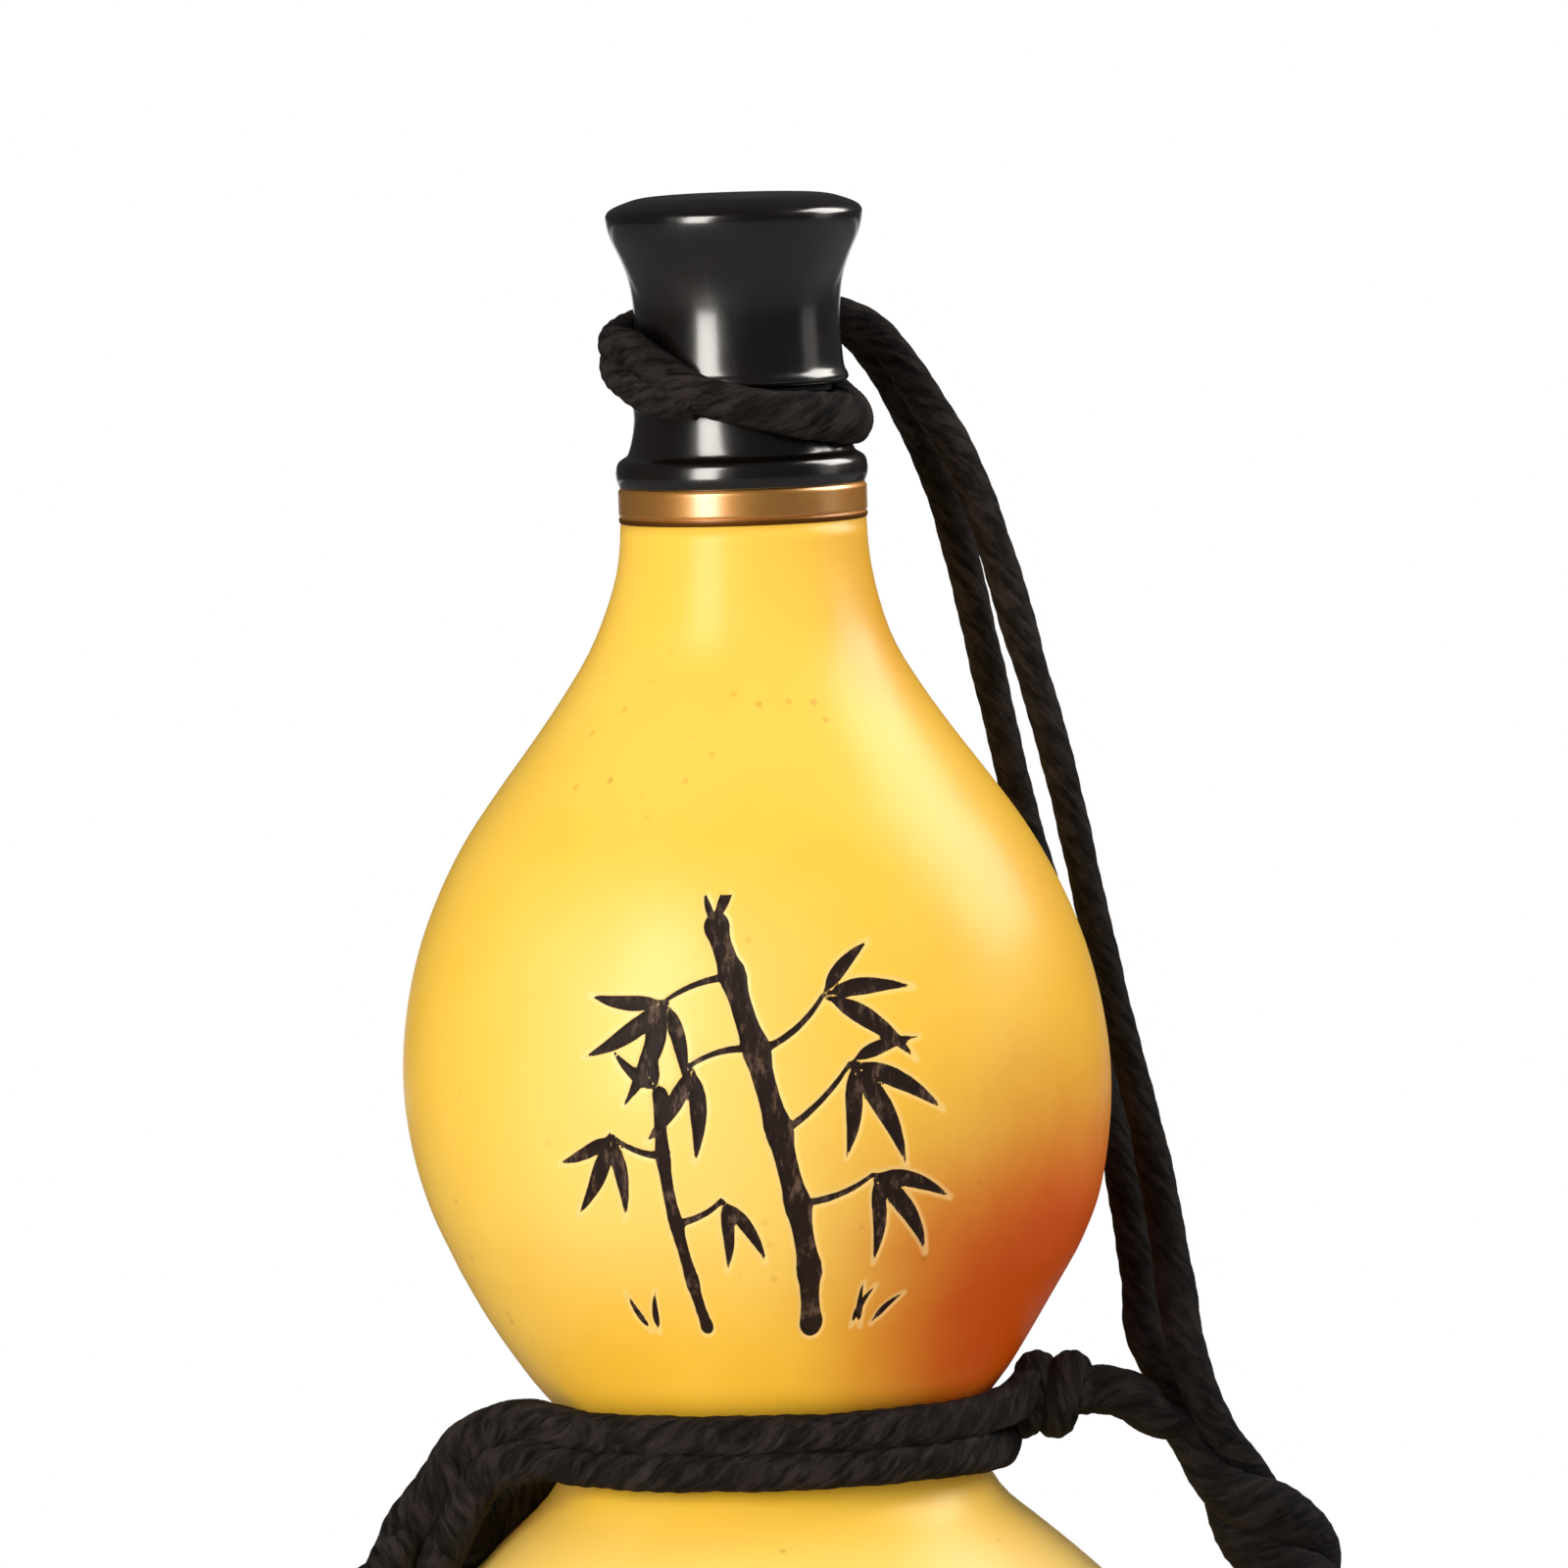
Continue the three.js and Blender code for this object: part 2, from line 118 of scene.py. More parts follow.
# Thread of the stopper's screw in the collar's mouth
THREAD_PITCH = 3.5 * MM
MOUTH_RADIUS = 6.6 * MM
PLUG_RADIUS = 5.6 * MM
RIDGE_HEIGHT = 0.7 * MM
RIDGE_BASE = 1.5 * MM                  # its width at the wall
RIDGE_CREST = 0.7 * MM                 # and at its top
RIDGE_ROOT = 0.3 * MM                  # how far it reaches into the wall
RIDGE_RUNOUT = 0.12                    # turns over which it rises at both ends

# Collar's side, in millimetres: inset from the flange's radius and height over the ring, then
# radius and height, and at the rim radius and depth under the top
COLLAR_FLANGE = [(0.35, 0), (0.2, 0.3), (0.05, 0.8), (0, 1.3), (0.05, 1.75), (0.15, 2.25),
                 (0.38, 2.65), (0.8, 2.95), (1.2, 3.2)]
COLLAR_WAIST = [(11.4, 3.8), (11.15, 4.7), (10.95, 5.75), (10.85, 6.8), (10.88, 7.7)]
COLLAR_RIM = [(10.98, 0.6), (10.85, 0.15), (10.45, 0)]

# Stopper's side, in millimetres: radius over the grip's and height over the foot, then inset
# from the rim and depth under the top
GRIP_SIDE = [(0.2, 0), (0.55, 0.15), (0.7, 0.5), (0.6, 0.9), (0.38, 1.3), (0.24, 1.9),
             (0.12, 3.4), (0, 6), (0.1, 8.5), (0.5, 11), (1.3, 13.2)]
RIM_SIDE = [(0.02, 2.6), (0, 1.9), (0.2, 1.45), (0.65, 1.1), (1.7, 0.65), (3.2, 0.2), (5, 0)]

# Cord routes, those of the solids, with the ends of the forks drawn closer together
STRAP_ROUTE = [
    (0.044, 0.0023, 0.0956),
    (0.0451, 0.0024, 0.0935),
    (0.0476, 0.0028, 0.0895),
    (0.0505, 0.0033, 0.0855),
    (0.0534, 0.0042, 0.08),
    (0.0553, 0.0056, 0.071),
    (0.0564, 0.008, 0.058),
    (0.0568, 0.0114, 0.044),
    (0.0566, 0.0162, 0.031),
    (0.056, 0.023, 0.019),
    (0.055, 0.0324, 0.01),
    (0.0537, 0.044, 0.0055),
    (0.0518, 0.057, 0.0047),
    (0.0476, 0.0705, 0.0047),
    (0.0404, 0.083, 0.0047),
    (0.03, 0.0935, 0.0047),
    (0.0168, 0.1006, 0.0047),
    (0.002, 0.1036, 0.0047),
    (-0.0132, 0.102, 0.0047),
    (-0.0274, 0.0962, 0.0047),
    (-0.0394, 0.0864, 0.0047),
    (-0.0478, 0.0734, 0.0047),
    (-0.0522, 0.0586, 0.0047),
    (-0.054, 0.045, 0.0055),
    (-0.0548, 0.033, 0.01),
    (-0.0552, 0.0226, 0.019),
    (-0.0556, 0.014, 0.0305),
    (-0.0556, 0.007, 0.042),
    (-0.0544, 0.001, 0.0535),
    (-0.0516, -0.004, 0.064),
    (-0.0472, -0.0076, 0.0728),
    (-0.0426, -0.0094, 0.0792),
    (-0.0393, -0.0096, 0.0834),
    (-0.0375, -0.0091, 0.0858),
    (-0.0362, -0.0085, 0.0879),
]
LANYARD_FRONT = [
    (0.0054, 0.0146, 0.2114),
    (0.0082, 0.0145, 0.2114),
    (0.0111, 0.0144, 0.2108),
    (0.0139, 0.0142, 0.2092),
    (0.0162, 0.0141, 0.2066),
    (0.0189, 0.014, 0.2022),
    (0.0216, 0.0139, 0.1977),
    (0.0235, 0.0138, 0.1934),
    (0.0259, 0.0136, 0.186),
    (0.0285, 0.0133, 0.176),
    (0.0306, 0.0131, 0.168),
    (0.0324, 0.0129, 0.16),
    (0.0341, 0.0127, 0.151),
    (0.0356, 0.0123, 0.143),
    (0.0374, 0.0113, 0.135),
    (0.0392, 0.0093, 0.127),
    (0.0406, 0.0069, 0.119),
    (0.0416, 0.0047, 0.1115),
    (0.0425, 0.0026, 0.105),
]
LANYARD_REAR = [
    (0.0054, 0.0189, 0.2114),
    (0.0078, 0.0189, 0.2112),
    (0.0103, 0.0189, 0.2103),
    (0.0126, 0.0188, 0.2085),
    (0.0145, 0.0188, 0.206),
    (0.0166, 0.0189, 0.202),
    (0.0186, 0.019, 0.1978),
    (0.0203, 0.0191, 0.1934),
    (0.0222, 0.0193, 0.186),
    (0.0242, 0.0195, 0.176),
    (0.0258, 0.0197, 0.168),
    (0.0274, 0.0198, 0.16),
    (0.0297, 0.0198, 0.151),
    (0.0319, 0.0196, 0.143),
    (0.034, 0.0187, 0.135),
    (0.0357, 0.0164, 0.127),
    (0.0372, 0.0132, 0.119),
    (0.0381, 0.0099, 0.1115),
    (0.0386, 0.0074, 0.1054),
]
KNOT_TAIL = [(0.0312, -0.0008, 0.1009), (0.034, -0.0008, 0.1009), (0.0368, -0.0005, 0.1),
             (0.0391, 0.0001, 0.0979)]
UPPER_LEFT = [(-0.025, -0.0103, 0.1006), (-0.0284, -0.0092, 0.0997), (-0.0315, -0.0088, 0.098),
              (-0.0334, -0.0088, 0.0951)]
LOWER_LEFT = [(-0.0234, -0.011, 0.0965), (-0.0266, -0.0097, 0.0964), (-0.0293, -0.0091, 0.0953),
              (-0.0313, -0.0089, 0.0928)]
REAR_LEFT = [(-0.0226, 0.0096, 0.0955), (-0.0246, 0.0058, 0.0921), (-0.0278, 0.0008, 0.089),
             (-0.0313, -0.003, 0.0872)]
UPPER_RIGHT = [(0.0248, -0.005, 0.1005), (0.0264, -0.0025, 0.1016), (0.0281, -0.0008, 0.1013)]
LOWER_RIGHT = [(0.0229, -0.0046, 0.0957), (0.0236, -0.0006, 0.0962), (0.0243, 0.0024, 0.098),
               (0.0259, 0.0022, 0.1)]
REAR_RIGHT = [(0.0248, 0.0053, 0.0984), (0.0266, 0.0024, 0.0994), (0.028, 0.0005, 0.1004)]

# Knots: places on the line that the cord is wound round, each with the coil's half depth and
# half height, and the knot's middle
WAIST_COIL = [
    (0.0252, 0.0, 0.1002, 0.0018, 0.0022),
    (0.027, -0.0007, 0.1003, 0.0023, 0.0029),
    (0.0291, -0.0008, 0.1007, 0.0021, 0.0027),
    (0.0311, -0.0007, 0.1015, 0.0015, 0.0017),
    (0.0326, -0.0005, 0.1013, 0.0008, 0.0008),
]
WAIST_COIL_MIDDLE = (0.029, -0.0007, 0.1013)
STOPPER_COIL = [
    (-0.0012, 0.0156, 0.2092, 0.0018, 0.002),
    (0.0008, 0.0156, 0.2096, 0.0022, 0.0024),
    (0.0028, 0.0161, 0.2104, 0.0024, 0.0018),
    (0.0048, 0.0166, 0.2112, 0.0026, 0.0011),
    (0.0058, 0.0168, 0.2113, 0.0022, 0.0008),
]
STOPPER_COIL_MIDDLE = (0.0028, 0.0161, 0.2104)


class Wire:
    """A socket of a material. Python's operators on it add Math nodes."""

    def __init__(self, finish, socket):
        self.finish = finish
        self.socket = socket

    def math(self, operation, other):
        """A Math node on this socket and another one, or a number."""
        return self.finish.add("ShaderNodeMath", {"operation": operation}, {0: self, 1: other})

    def __add__(self, other):
        return self.math("ADD", other)

    __radd__ = __add__

    def __mul__(self, other):
        return self.math("MULTIPLY", other)

    __rmul__ = __mul__

    def __sub__(self, other):
        return self.math("SUBTRACT", other)

    def __rsub__(self, other):
        return self * -1.0 + other

    def ramp(self, low, high):
        """0 below low, 1 above high and a smooth step between; low may exceed high."""
        settings = {"interpolation_type": "SMOOTHSTEP"}
        inputs = {0: self, 1: min(low, high), 2: max(low, high)}
        inputs.update({3: 0.0, 4: 1.0} if low < high else {3: 1.0, 4: 0.0})
        return self.finish.add("ShaderNodeMapRange", settings, inputs)


class Finish:
    """A material, or the world, and its nodes."""

    def __init__(self, name, kind=bpy.data.materials):
        self.material = kind.new(name)
        self.material.use_nodes = True
        self.tree = self.material.node_tree
        self.shader = self.tree.nodes.get("Principled BSDF")

    def add(self, kind, settings, sockets, output=0):
        """A node of a kind: its settings first, then its sockets' values or links."""
        node = self.tree.nodes.new(kind)
        for key, value in settings.items():
            setattr(node, key, value)
        for key, value in sockets.items():
            self.put(node.inputs[key], value)
        return Wire(self, node.outputs[output])

    def put(self, socket, value):
        """A link into a socket, or its plain value."""
        if isinstance(value, Wire):
            self.tree.links.new(value.socket, socket)
        else:
            socket.default_value = value

    def set(self, **sockets):
        """The shader's own sockets, by name with _ for a space."""
        for key, value in sockets.items():
            self.put(self.shader.inputs[key.replace("_", " ")], value)

    def place(self):
        """Object coordinates."""
        return self.add("ShaderNodeTexCoord", {}, {}, "Object")

    def attribute(self, name, output="Fac"):
        """What attach() put on the mesh's vertices."""
        return self.add("ShaderNodeAttribute", {"attribute_name": name}, {}, output)

    def stretched(self, vector, scale):
        """A vector scaled along each axis; below 1 draws a pattern out."""
        return self.add("ShaderNodeMapping", {}, {"Vector": vector, "Scale": scale})

    def axis(self, vector, letter):
        """One part of a vector: X, Y or Z."""
        return self.add("ShaderNodeSeparateXYZ", {}, {0: vector}, letter)

    def noise(self, vector, scale, detail=3.0, roughness=0.5):
        """Cloudy values about 0.5."""
        inputs = {"Vector": vector, "Scale": scale, "Detail": detail, "Roughness": roughness}
        return self.add("ShaderNodeTexNoise", {}, inputs)

    def spots(self, vector, scale):
        """Distance to the nearest of scattered points, in cells."""
        return self.add("ShaderNodeTexVoronoi", {}, {"Vector": vector, "Scale": scale})

    def mix(self, amount, low, high):
        """One colour turning into another by an amount."""
        return self.add("ShaderNodeMix", {"data_type": "RGBA"}, {0: amount, 6: low, 7: high}, 2)

    def rays(self):
        """1 for rays from the camera, and 1 for those that a gloss or a glass sends."""
        path = self.tree.nodes.new("ShaderNodeLightPath")
        camera, gloss, glass = (Wire(self, path.outputs[name]) for name in
                                ("Is Camera Ray", "Is Glossy Ray", "Is Transmission Ray"))
        return camera, (gloss + glass).math("MINIMUM", 1.0)

    def bump(self, height, distance, strength=1.0):
        """Relief from a height between 0 and 1, a distance deep."""
        inputs = {"Height": height, "Distance": distance, "Strength": strength}
        self.set(Normal=self.add("ShaderNodeBump", {}, inputs))


def rgb(red, green, blue):
    """Linear colour from the 0 to 255 values of a screen."""
    return tuple((c / 255) ** 2.2 for c in (red, green, blue)) + (1.0,)


def rind_finish():
    """Lacquered gourd: golden, deeper orange low on the right that is in part painted shade, a
    painted sheen on the front, pores, faint mottling and a cut design that is inked dark and
    has a pale edge."""
    f = Finish("gourd_rind")
    place = f.place()
    height = f.axis(place, "Z")
    side = f.axis(place, "X")
    depth = f.axis(place, "Y")
    cloud = f.noise(place, 28.0, 3.0)
    patch = f.noise(place, 75.0, 4.0, 0.6)
    fine = f.noise(place, 420.0, 3.0, 0.6)
    golden = f.mix(cloud.ramp(0.35, 0.68), rgb(252, 196, 58), rgb(255, 206, 80))
    # painted sheen: paler on the front, left of the middle, where a broad highlight falls; also
    # paler on the lower bulb
    front = side.ramp(-0.034, -0.016) * side.ramp(0.016, -0.008) * depth.ramp(-0.01, -0.03)
    front = front * height.ramp(0.108, 0.124) * height.ramp(0.162, 0.146)
    pale = front * 0.5 + height.ramp(0.094, 0.082) * 0.7
    golden = f.mix(pale.math("MINIMUM", 0.9), golden, rgb(255, 224, 132))
    # painted shade in part, and in part the rind's own warmer tone: deeper orange-brown low on
    # the upper bulb, on the right and up the neck, with random patches
    upper_low = height.ramp(0.147, 0.104) * height.ramp(0.09, 0.1)
    right = (side - depth * 0.25).ramp(0.004, 0.037)
    neck = side.ramp(0.003, 0.012) * height.ramp(0.166, 0.18)
    warm_and_shade = upper_low * 0.28 + right * 0.32 + upper_low * right * 1.05 + neck * 0.4
    warm_and_shade = warm_and_shade + (patch - 0.5) * 0.35
    skin = f.mix(warm_and_shade.ramp(0.1, 1.3), golden, rgb(202, 80, 0))
    freckle = f.spots(place, 300.0).ramp(0.18, 0.05) * cloud.ramp(0.52, 0.7) * 0.5
    skin = f.mix(freckle, skin, rgb(176, 100, 30))
    pit = f.spots(place, 60.0).ramp(0.05, 0.02)
    skin = f.mix(pit * 0.85, skin, rgb(70, 40, 16))
    # the design: signed distance to its edge in millimetres, negative inside
    edge = f.attribute("carving") + (fine - 0.5) * 0.16
    ink = edge.ramp(0.03, -0.05)
    halo = edge.ramp(0.55, 0.12) * (1 - ink)
    worn = f.noise(f.stretched(place, (1.0, 1.0, 0.35)), 900.0, 4.0, 0.7)
    inked = f.mix(worn.ramp(0.5, 0.72), rgb(44, 30, 24), rgb(104, 82, 66))
    skin = f.mix(halo * 0.45, skin, rgb(255, 224, 150))
    skin = f.mix(ink, skin, inked)
    f.set(
        Base_Color=skin,
        Roughness=0.34 + (patch - 0.5) * 0.12 + ink * 0.3,
        Specular_IOR_Level=0.2,
        Coat_Weight=0.6 - ink * 0.52 - warm_and_shade.ramp(0.45, 1.1) * 0.54,
        Coat_Roughness=0.32,
    )
    f.bump(patch * 0.6 + fine * 0.25 - pit * 0.5 - ink * worn * 0.5, 0.12 * MM, 0.5)
    return f.material


def pith_finish():
    """Scraped inside of the gourd, pale and fibrous."""
    f = Finish("gourd_pith")
    place = f.place()
    fibre = f.noise(f.stretched(place, (1.0, 1.0, 0.2)), 500.0, 4.0, 0.65)
    cloud = f.noise(place, 60.0)
    colour = f.mix(fibre.ramp(0.35, 0.7), rgb(196, 158, 104), rgb(228, 198, 148))
    colour = f.mix(cloud.ramp(0.5, 0.75) * 0.4, colour, rgb(150, 108, 62))
    f.set(Base_Color=colour, Roughness=0.85)
    f.bump(fibre, 0.4 * MM)
    return f.material


def brass_finish():
    """Turned brass, polished, with fine lathe lines and a little tarnish in its edges."""
    f = Finish("polished_brass")
    place = f.place()
    height = f.axis(place, "Z")
    lines = f.noise(f.stretched(place, (0.02, 0.02, 1.0)), 9000.0, 2.0)
    stain = f.noise(place, 260.0, 4.0, 0.6)
    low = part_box("brass_ring")[0].z
    seam = height.ramp(low + 0.55 * MM, low + 0.1 * MM)
    colour = f.mix(stain.ramp(0.45, 0.75) * 0.5, rgb(252, 174, 68), rgb(222, 128, 40))
    colour = f.mix(seam * 0.85, colour, rgb(72, 34, 12))
    f.set(
        Base_Color=colour,
        Metallic=0.85,
        Roughness=0.38 + stain * 0.12 + seam * 0.2,
        Coat_Weight=1.0 - seam,
        Coat_Roughness=0.27,
        Coat_IOR=2.7,
    )
    f.bump(lines, 0.02 * MM, 0.5)
    return f.material


def black_finish():
    """Black-brown gloss of the turned stopper and collar, with faint polishing marks."""
    f = Finish("black_lacquer")
    place = f.place()
    cloud = f.noise(place, 90.0, 3.0)
    lines = f.noise(f.stretched(place, (0.1, 0.1, 1.0)), 2600.0, 3.0)
    smear = f.noise(f.stretched(place, (1.0, 1.0, 0.3)), 240.0, 4.0, 0.6)
    colour = f.mix(cloud.ramp(0.35, 0.7), rgb(11, 8, 6), rgb(24, 16, 12))
    f.set(
        Base_Color=colour,
        Roughness=0.22 + smear.ramp(0.45, 0.8) * 0.1,
        Specular_IOR_Level=1.0,
        Coat_Weight=1.0,
        Coat_Roughness=0.17,
        Coat_IOR=1.8,
    )
    f.bump(lines * 0.4 + smear * 0.6, 0.01 * MM, 0.5)
    return f.material


def seal_finish():
    """Matt rubber washer."""
    f = Finish("seal_rubber")
    grain = f.noise(f.place(), 1500.0, 3.0)
    f.set(Base_Color=f.mix(grain, rgb(34, 31, 29), rgb(58, 54, 50)), Roughness=0.8)
    f.bump(grain, 0.05 * MM)
    return f.material


def cotton_finish():
    """Black spun cotton. The lay attribute is the place on the cord as if it were straight and
    untwisted, along Z, so that fibres follow the yarns."""
    f = Finish("black_cotton")
    lay = f.attribute("lay", "Vector")
    fibre = f.noise(f.stretched(lay, (1.0, 1.0, 0.16)), 3600.0, 4.0, 0.65)
    tuft = f.noise(f.stretched(lay, (1.0, 1.0, 0.45)), 900.0, 4.0, 0.6)
    soft = f.noise(lay, 160.0, 3.0)
    crest = f.attribute("crest")
    # painted highlight and shade: the yarns' crests lighter, the valleys between them darker; the
    # fibres and tufts are the cotton's own mottling
    shade = fibre.ramp(0.35, 0.75) * 0.45 + tuft.ramp(0.42, 0.64) * 0.6 + crest * 0.25 - 0.15
    colour = f.mix(shade, rgb(11, 9, 8), rgb(54, 46, 44))
    colour = f.mix(soft.ramp(0.45, 0.7) * 0.4, colour, rgb(22, 16, 13))
    # painted shade: darker black at the right, in the lanyard and the strap
    deep = f.axis(f.place(), "X").ramp(0.026, 0.042) * 0.5
    colour = f.mix(deep, colour, rgb(8, 6, 5))
    f.set(Base_Color=colour, Roughness=0.92, Specular_IOR_Level=0.3)
    f.bump(fibre * 0.6 + tuft, 0.25 * MM)
    return f.material


def outward(points, triangles):
    """Whether the triangles face outwards: their summed signed volume is positive."""
    a, b, c = (points[triangles[:, i]] for i in range(3))
    return np.einsum("ij,ij->", a, np.cross(b, c)) > 0


def build(name, surfaces):
    """A mesh object from closed surfaces, each of them whole arrays of vertices, quads and
    triangles, and turned to face outwards."""
    shift, points, quads, fans = 0, [], [], []
    for place, four, three in surfaces:
        if not outward(place, np.vstack([four[:, [0, 1, 2]], four[:, [0, 2, 3]], three])):
            four, three = four[:, ::-1], three[:, ::-1]
        points.append(place)
        quads.append(four + shift)
        fans.append(three + shift)
        shift += len(place)
    points, quads, fans = (np.vstack(arrays) for arrays in (points, quads, fans))
    mesh = bpy.data.meshes.new(name)
    mesh.vertices.add(len(points))
    mesh.vertices.foreach_set("co", points.astype(np.float32).ravel())
    corners = np.concatenate([quads.ravel(), fans.ravel()])
    sizes = np.concatenate([np.full(len(quads), 4), np.full(len(fans), 3)])
    mesh.loops.add(len(corners))
    mesh.loops.foreach_set("vertex_index", corners.astype(np.int32))
    mesh.polygons.add(len(sizes))
    starts = np.concatenate([[0], np.cumsum(sizes)[:-1]])
    mesh.polygons.foreach_set("loop_start", starts.astype(np.int32))
    mesh.polygons.foreach_set("use_smooth", np.ones(len(sizes), bool))
    mesh.update(calc_edges=True)
    mesh.validate()
    piece = bpy.data.objects.new(name, mesh)
    bpy.context.scene.collection.objects.link(piece)
    return piece


def attach(piece, name, values):
    """Values at the vertices, as an attribute that materials read."""
    kind = "FLOAT" if values.ndim == 1 else "FLOAT_VECTOR"
    key = "value" if values.ndim == 1 else "vector"
    attribute = piece.data.attributes.new(name, kind, "POINT")
    attribute.data.foreach_set(key, values.astype(np.float32).ravel())


def tube_faces(rings, sides):
    """Quads between rings of a tube, and the fans that close its ends. The end points follow
    the rings' vertices."""
    ring = np.arange(sides)
    following = (ring + 1) % sides
    row = np.arange(rings - 1)[:, None] * sides
    quads = np.stack([row + ring, row + following, row + sides + following, row + sides + ring], -1)
    last = (rings - 1) * sides
    tip = rings * sides
    low = np.stack([np.full(sides, tip), following, ring], -1)
    high = np.stack([np.full(sides, tip + 1), last + ring, last + following], -1)
    return quads.reshape(-1, 4), np.vstack([low, high])


def hoop_faces(rings, sides):
    """Quads of a tube whose last ring joins its first."""
    ring = np.arange(sides)
    following = (ring + 1) % sides
    row = np.arange(rings)[:, None] * sides
    above = ((np.arange(rings) + 1) % rings)[:, None] * sides
    quads = np.stack([row + ring, row + following, above + following, above + ring], -1)
    return quads.reshape(-1, 4)


def spun(profile, angles):
    """Rings of (radius, height) pairs turned round the axis to each angle."""
    radius, height = profile[:, :1], profile[:, 1:]
    return np.stack([
        radius * np.cos(angles),
        radius * np.sin(angles),
        height + 0 * angles,
    ], -1)


def eased(profile, radius, closed=False, steps=5):
    """The profile with each corner replaced by a parabola that starts and ends a radius from it,
    and with a further point beside each, which keeps the flats flat."""
    p = np.asarray(profile, float)
    if closed:
        p = np.vstack([p[-1], p, p[0]])
    out = [] if closed else [p[:1]]
    for before, corner, after in zip(p[:-2], p[1:-1], p[2:]):
        arms = [before - corner, after - corner]
        reach = [min(radius, 0.3 * np.linalg.norm(arm)) for arm in arms]
        a, b = (corner + arm / np.linalg.norm(arm) * r for arm, r in zip(arms, reach))
        t = np.linspace(0, 1, steps)[:, None]
        curve = (1 - t) ** 2 * a + 2 * t * (1 - t) * corner + t ** 2 * b
        out += [(corner + (a - corner) * 1.4)[None], curve, (corner + (b - corner) * 1.4)[None]]
    if not closed:
        out.append(p[-1:])
    return np.vstack(out)


def turned(profile, sides=160):
    """Surface of a solid of revolution whose profile starts and ends on the axis."""
    rings = spun(profile[1:-1], np.linspace(0, 2 * np.pi, sides, endpoint=False))
    tips = [[0, 0, profile[0][1]], [0, 0, profile[-1][1]]]
    return np.vstack([rings.reshape(-1, 3), tips]), *tube_faces(len(rings), sides)


def turned_ring(profile, sides=160):
    """Surface of a ring of revolution whose profile closes on itself away from the axis."""
    rings = spun(profile, np.linspace(0, 2 * np.pi, sides, endpoint=False))
    return rings.reshape(-1, 3), hoop_faces(len(rings), sides), np.zeros((0, 3), int)


def smooth_line(route, step):
    """Even samples of the centripetal Catmull-Rom curve through the route's points: each span is
    a Hermite cubic whose end slopes come from the neighbours, weighted by root distances."""
    p = np.asarray(route, float)
    p = np.vstack([2 * p[0] - p[1], p, 2 * p[-1] - p[-2]])
    knots = np.sqrt(np.linalg.norm(np.diff(p, axis=0), axis=1))[:, None]
    a, b, c = knots[:-2], knots[1:-1], knots[2:]
    p0, p1, p2, p3 = p[:-3], p[1:-2], p[2:-1], p[3:]
    leave = ((p1 - p0) / a - (p2 - p0) / (a + b) + (p2 - p1) / b) * b
    arrive = ((p2 - p1) / b - (p3 - p1) / (b + c) + (p3 - p2) / c) * b
    t = np.linspace(0, 1, 40, endpoint=False)[None, :, None]
    p1, p2, leave, arrive = (v[:, None, :] for v in (p1, p2, leave, arrive))
    dense = p1 + leave * t + (3 * (p2 - p1) - 2 * leave - arrive) * t ** 2
    dense = dense + (2 * (p1 - p2) + leave + arrive) * t ** 3
    return evenly(np.vstack([dense.reshape(-1, 3), np.asarray(route[-1], float)]), step)


def length_along(line):
    """Length from a line's first point to each of its points."""
    return np.concatenate([[0], np.cumsum(np.linalg.norm(np.diff(line, axis=0), axis=1))])


def evenly(line, step):
    """The line sampled again at even spacing, close to the step."""
    along = length_along(line)
    count = max(int(round(along[-1] / step)), 2) + 1
    wanted = np.linspace(0, along[-1], count)
    return np.stack([np.interp(wanted, along, line[:, i]) for i in range(3)], -1)


def unit(vectors):
    """The vectors, each scaled to length 1."""
    return vectors / np.linalg.norm(vectors, axis=-1, keepdims=True)


def smooth_step(values, low, high):
    """0 up to low, 1 from high on and 3 t^2 - 2 t^3 between; low may exceed high."""
    t = np.clip((values - low) / (high - low), 0, 1)
    return t * t * (3 - 2 * t)


def directions_across(line, towards):
    """Two directions square to a line and to each other, the first nearest to towards."""
    direction = unit(np.gradient(line, axis=0))
    towards = np.broadcast_to(np.asarray(towards, float), line.shape)
    dots = np.sum(towards * direction, axis=1, keepdims=True)
    first = unit(towards - dots * direction)
    return first, np.cross(direction, first)


def to_nearest_end(along):
    """Length from each point of a line to its nearest end."""
    return np.minimum(along, along[-1] - along)


def blunt_ends(along):
    """Share of the full thickness along a cord, a little less in the last bit of both ends,
    which are tucked into a knot or another strand."""
    return TUCKED + (1 - TUCKED) * smooth_step(to_nearest_end(along), 0, TUCK)


def ripple(values, amount, seed):
    """A smooth random wave: half the sum of sines of four wavelengths, with random phases."""
    rng = np.random.default_rng(seed)
    waves = np.array([7.0, 12.0, 19.0, 33.0]) * MM
    phases = rng.uniform(0, 2 * np.pi, 4)
    return amount * sum(np.sin(2 * np.pi * values / w + p) for w, p in zip(waves, phases)) / 2


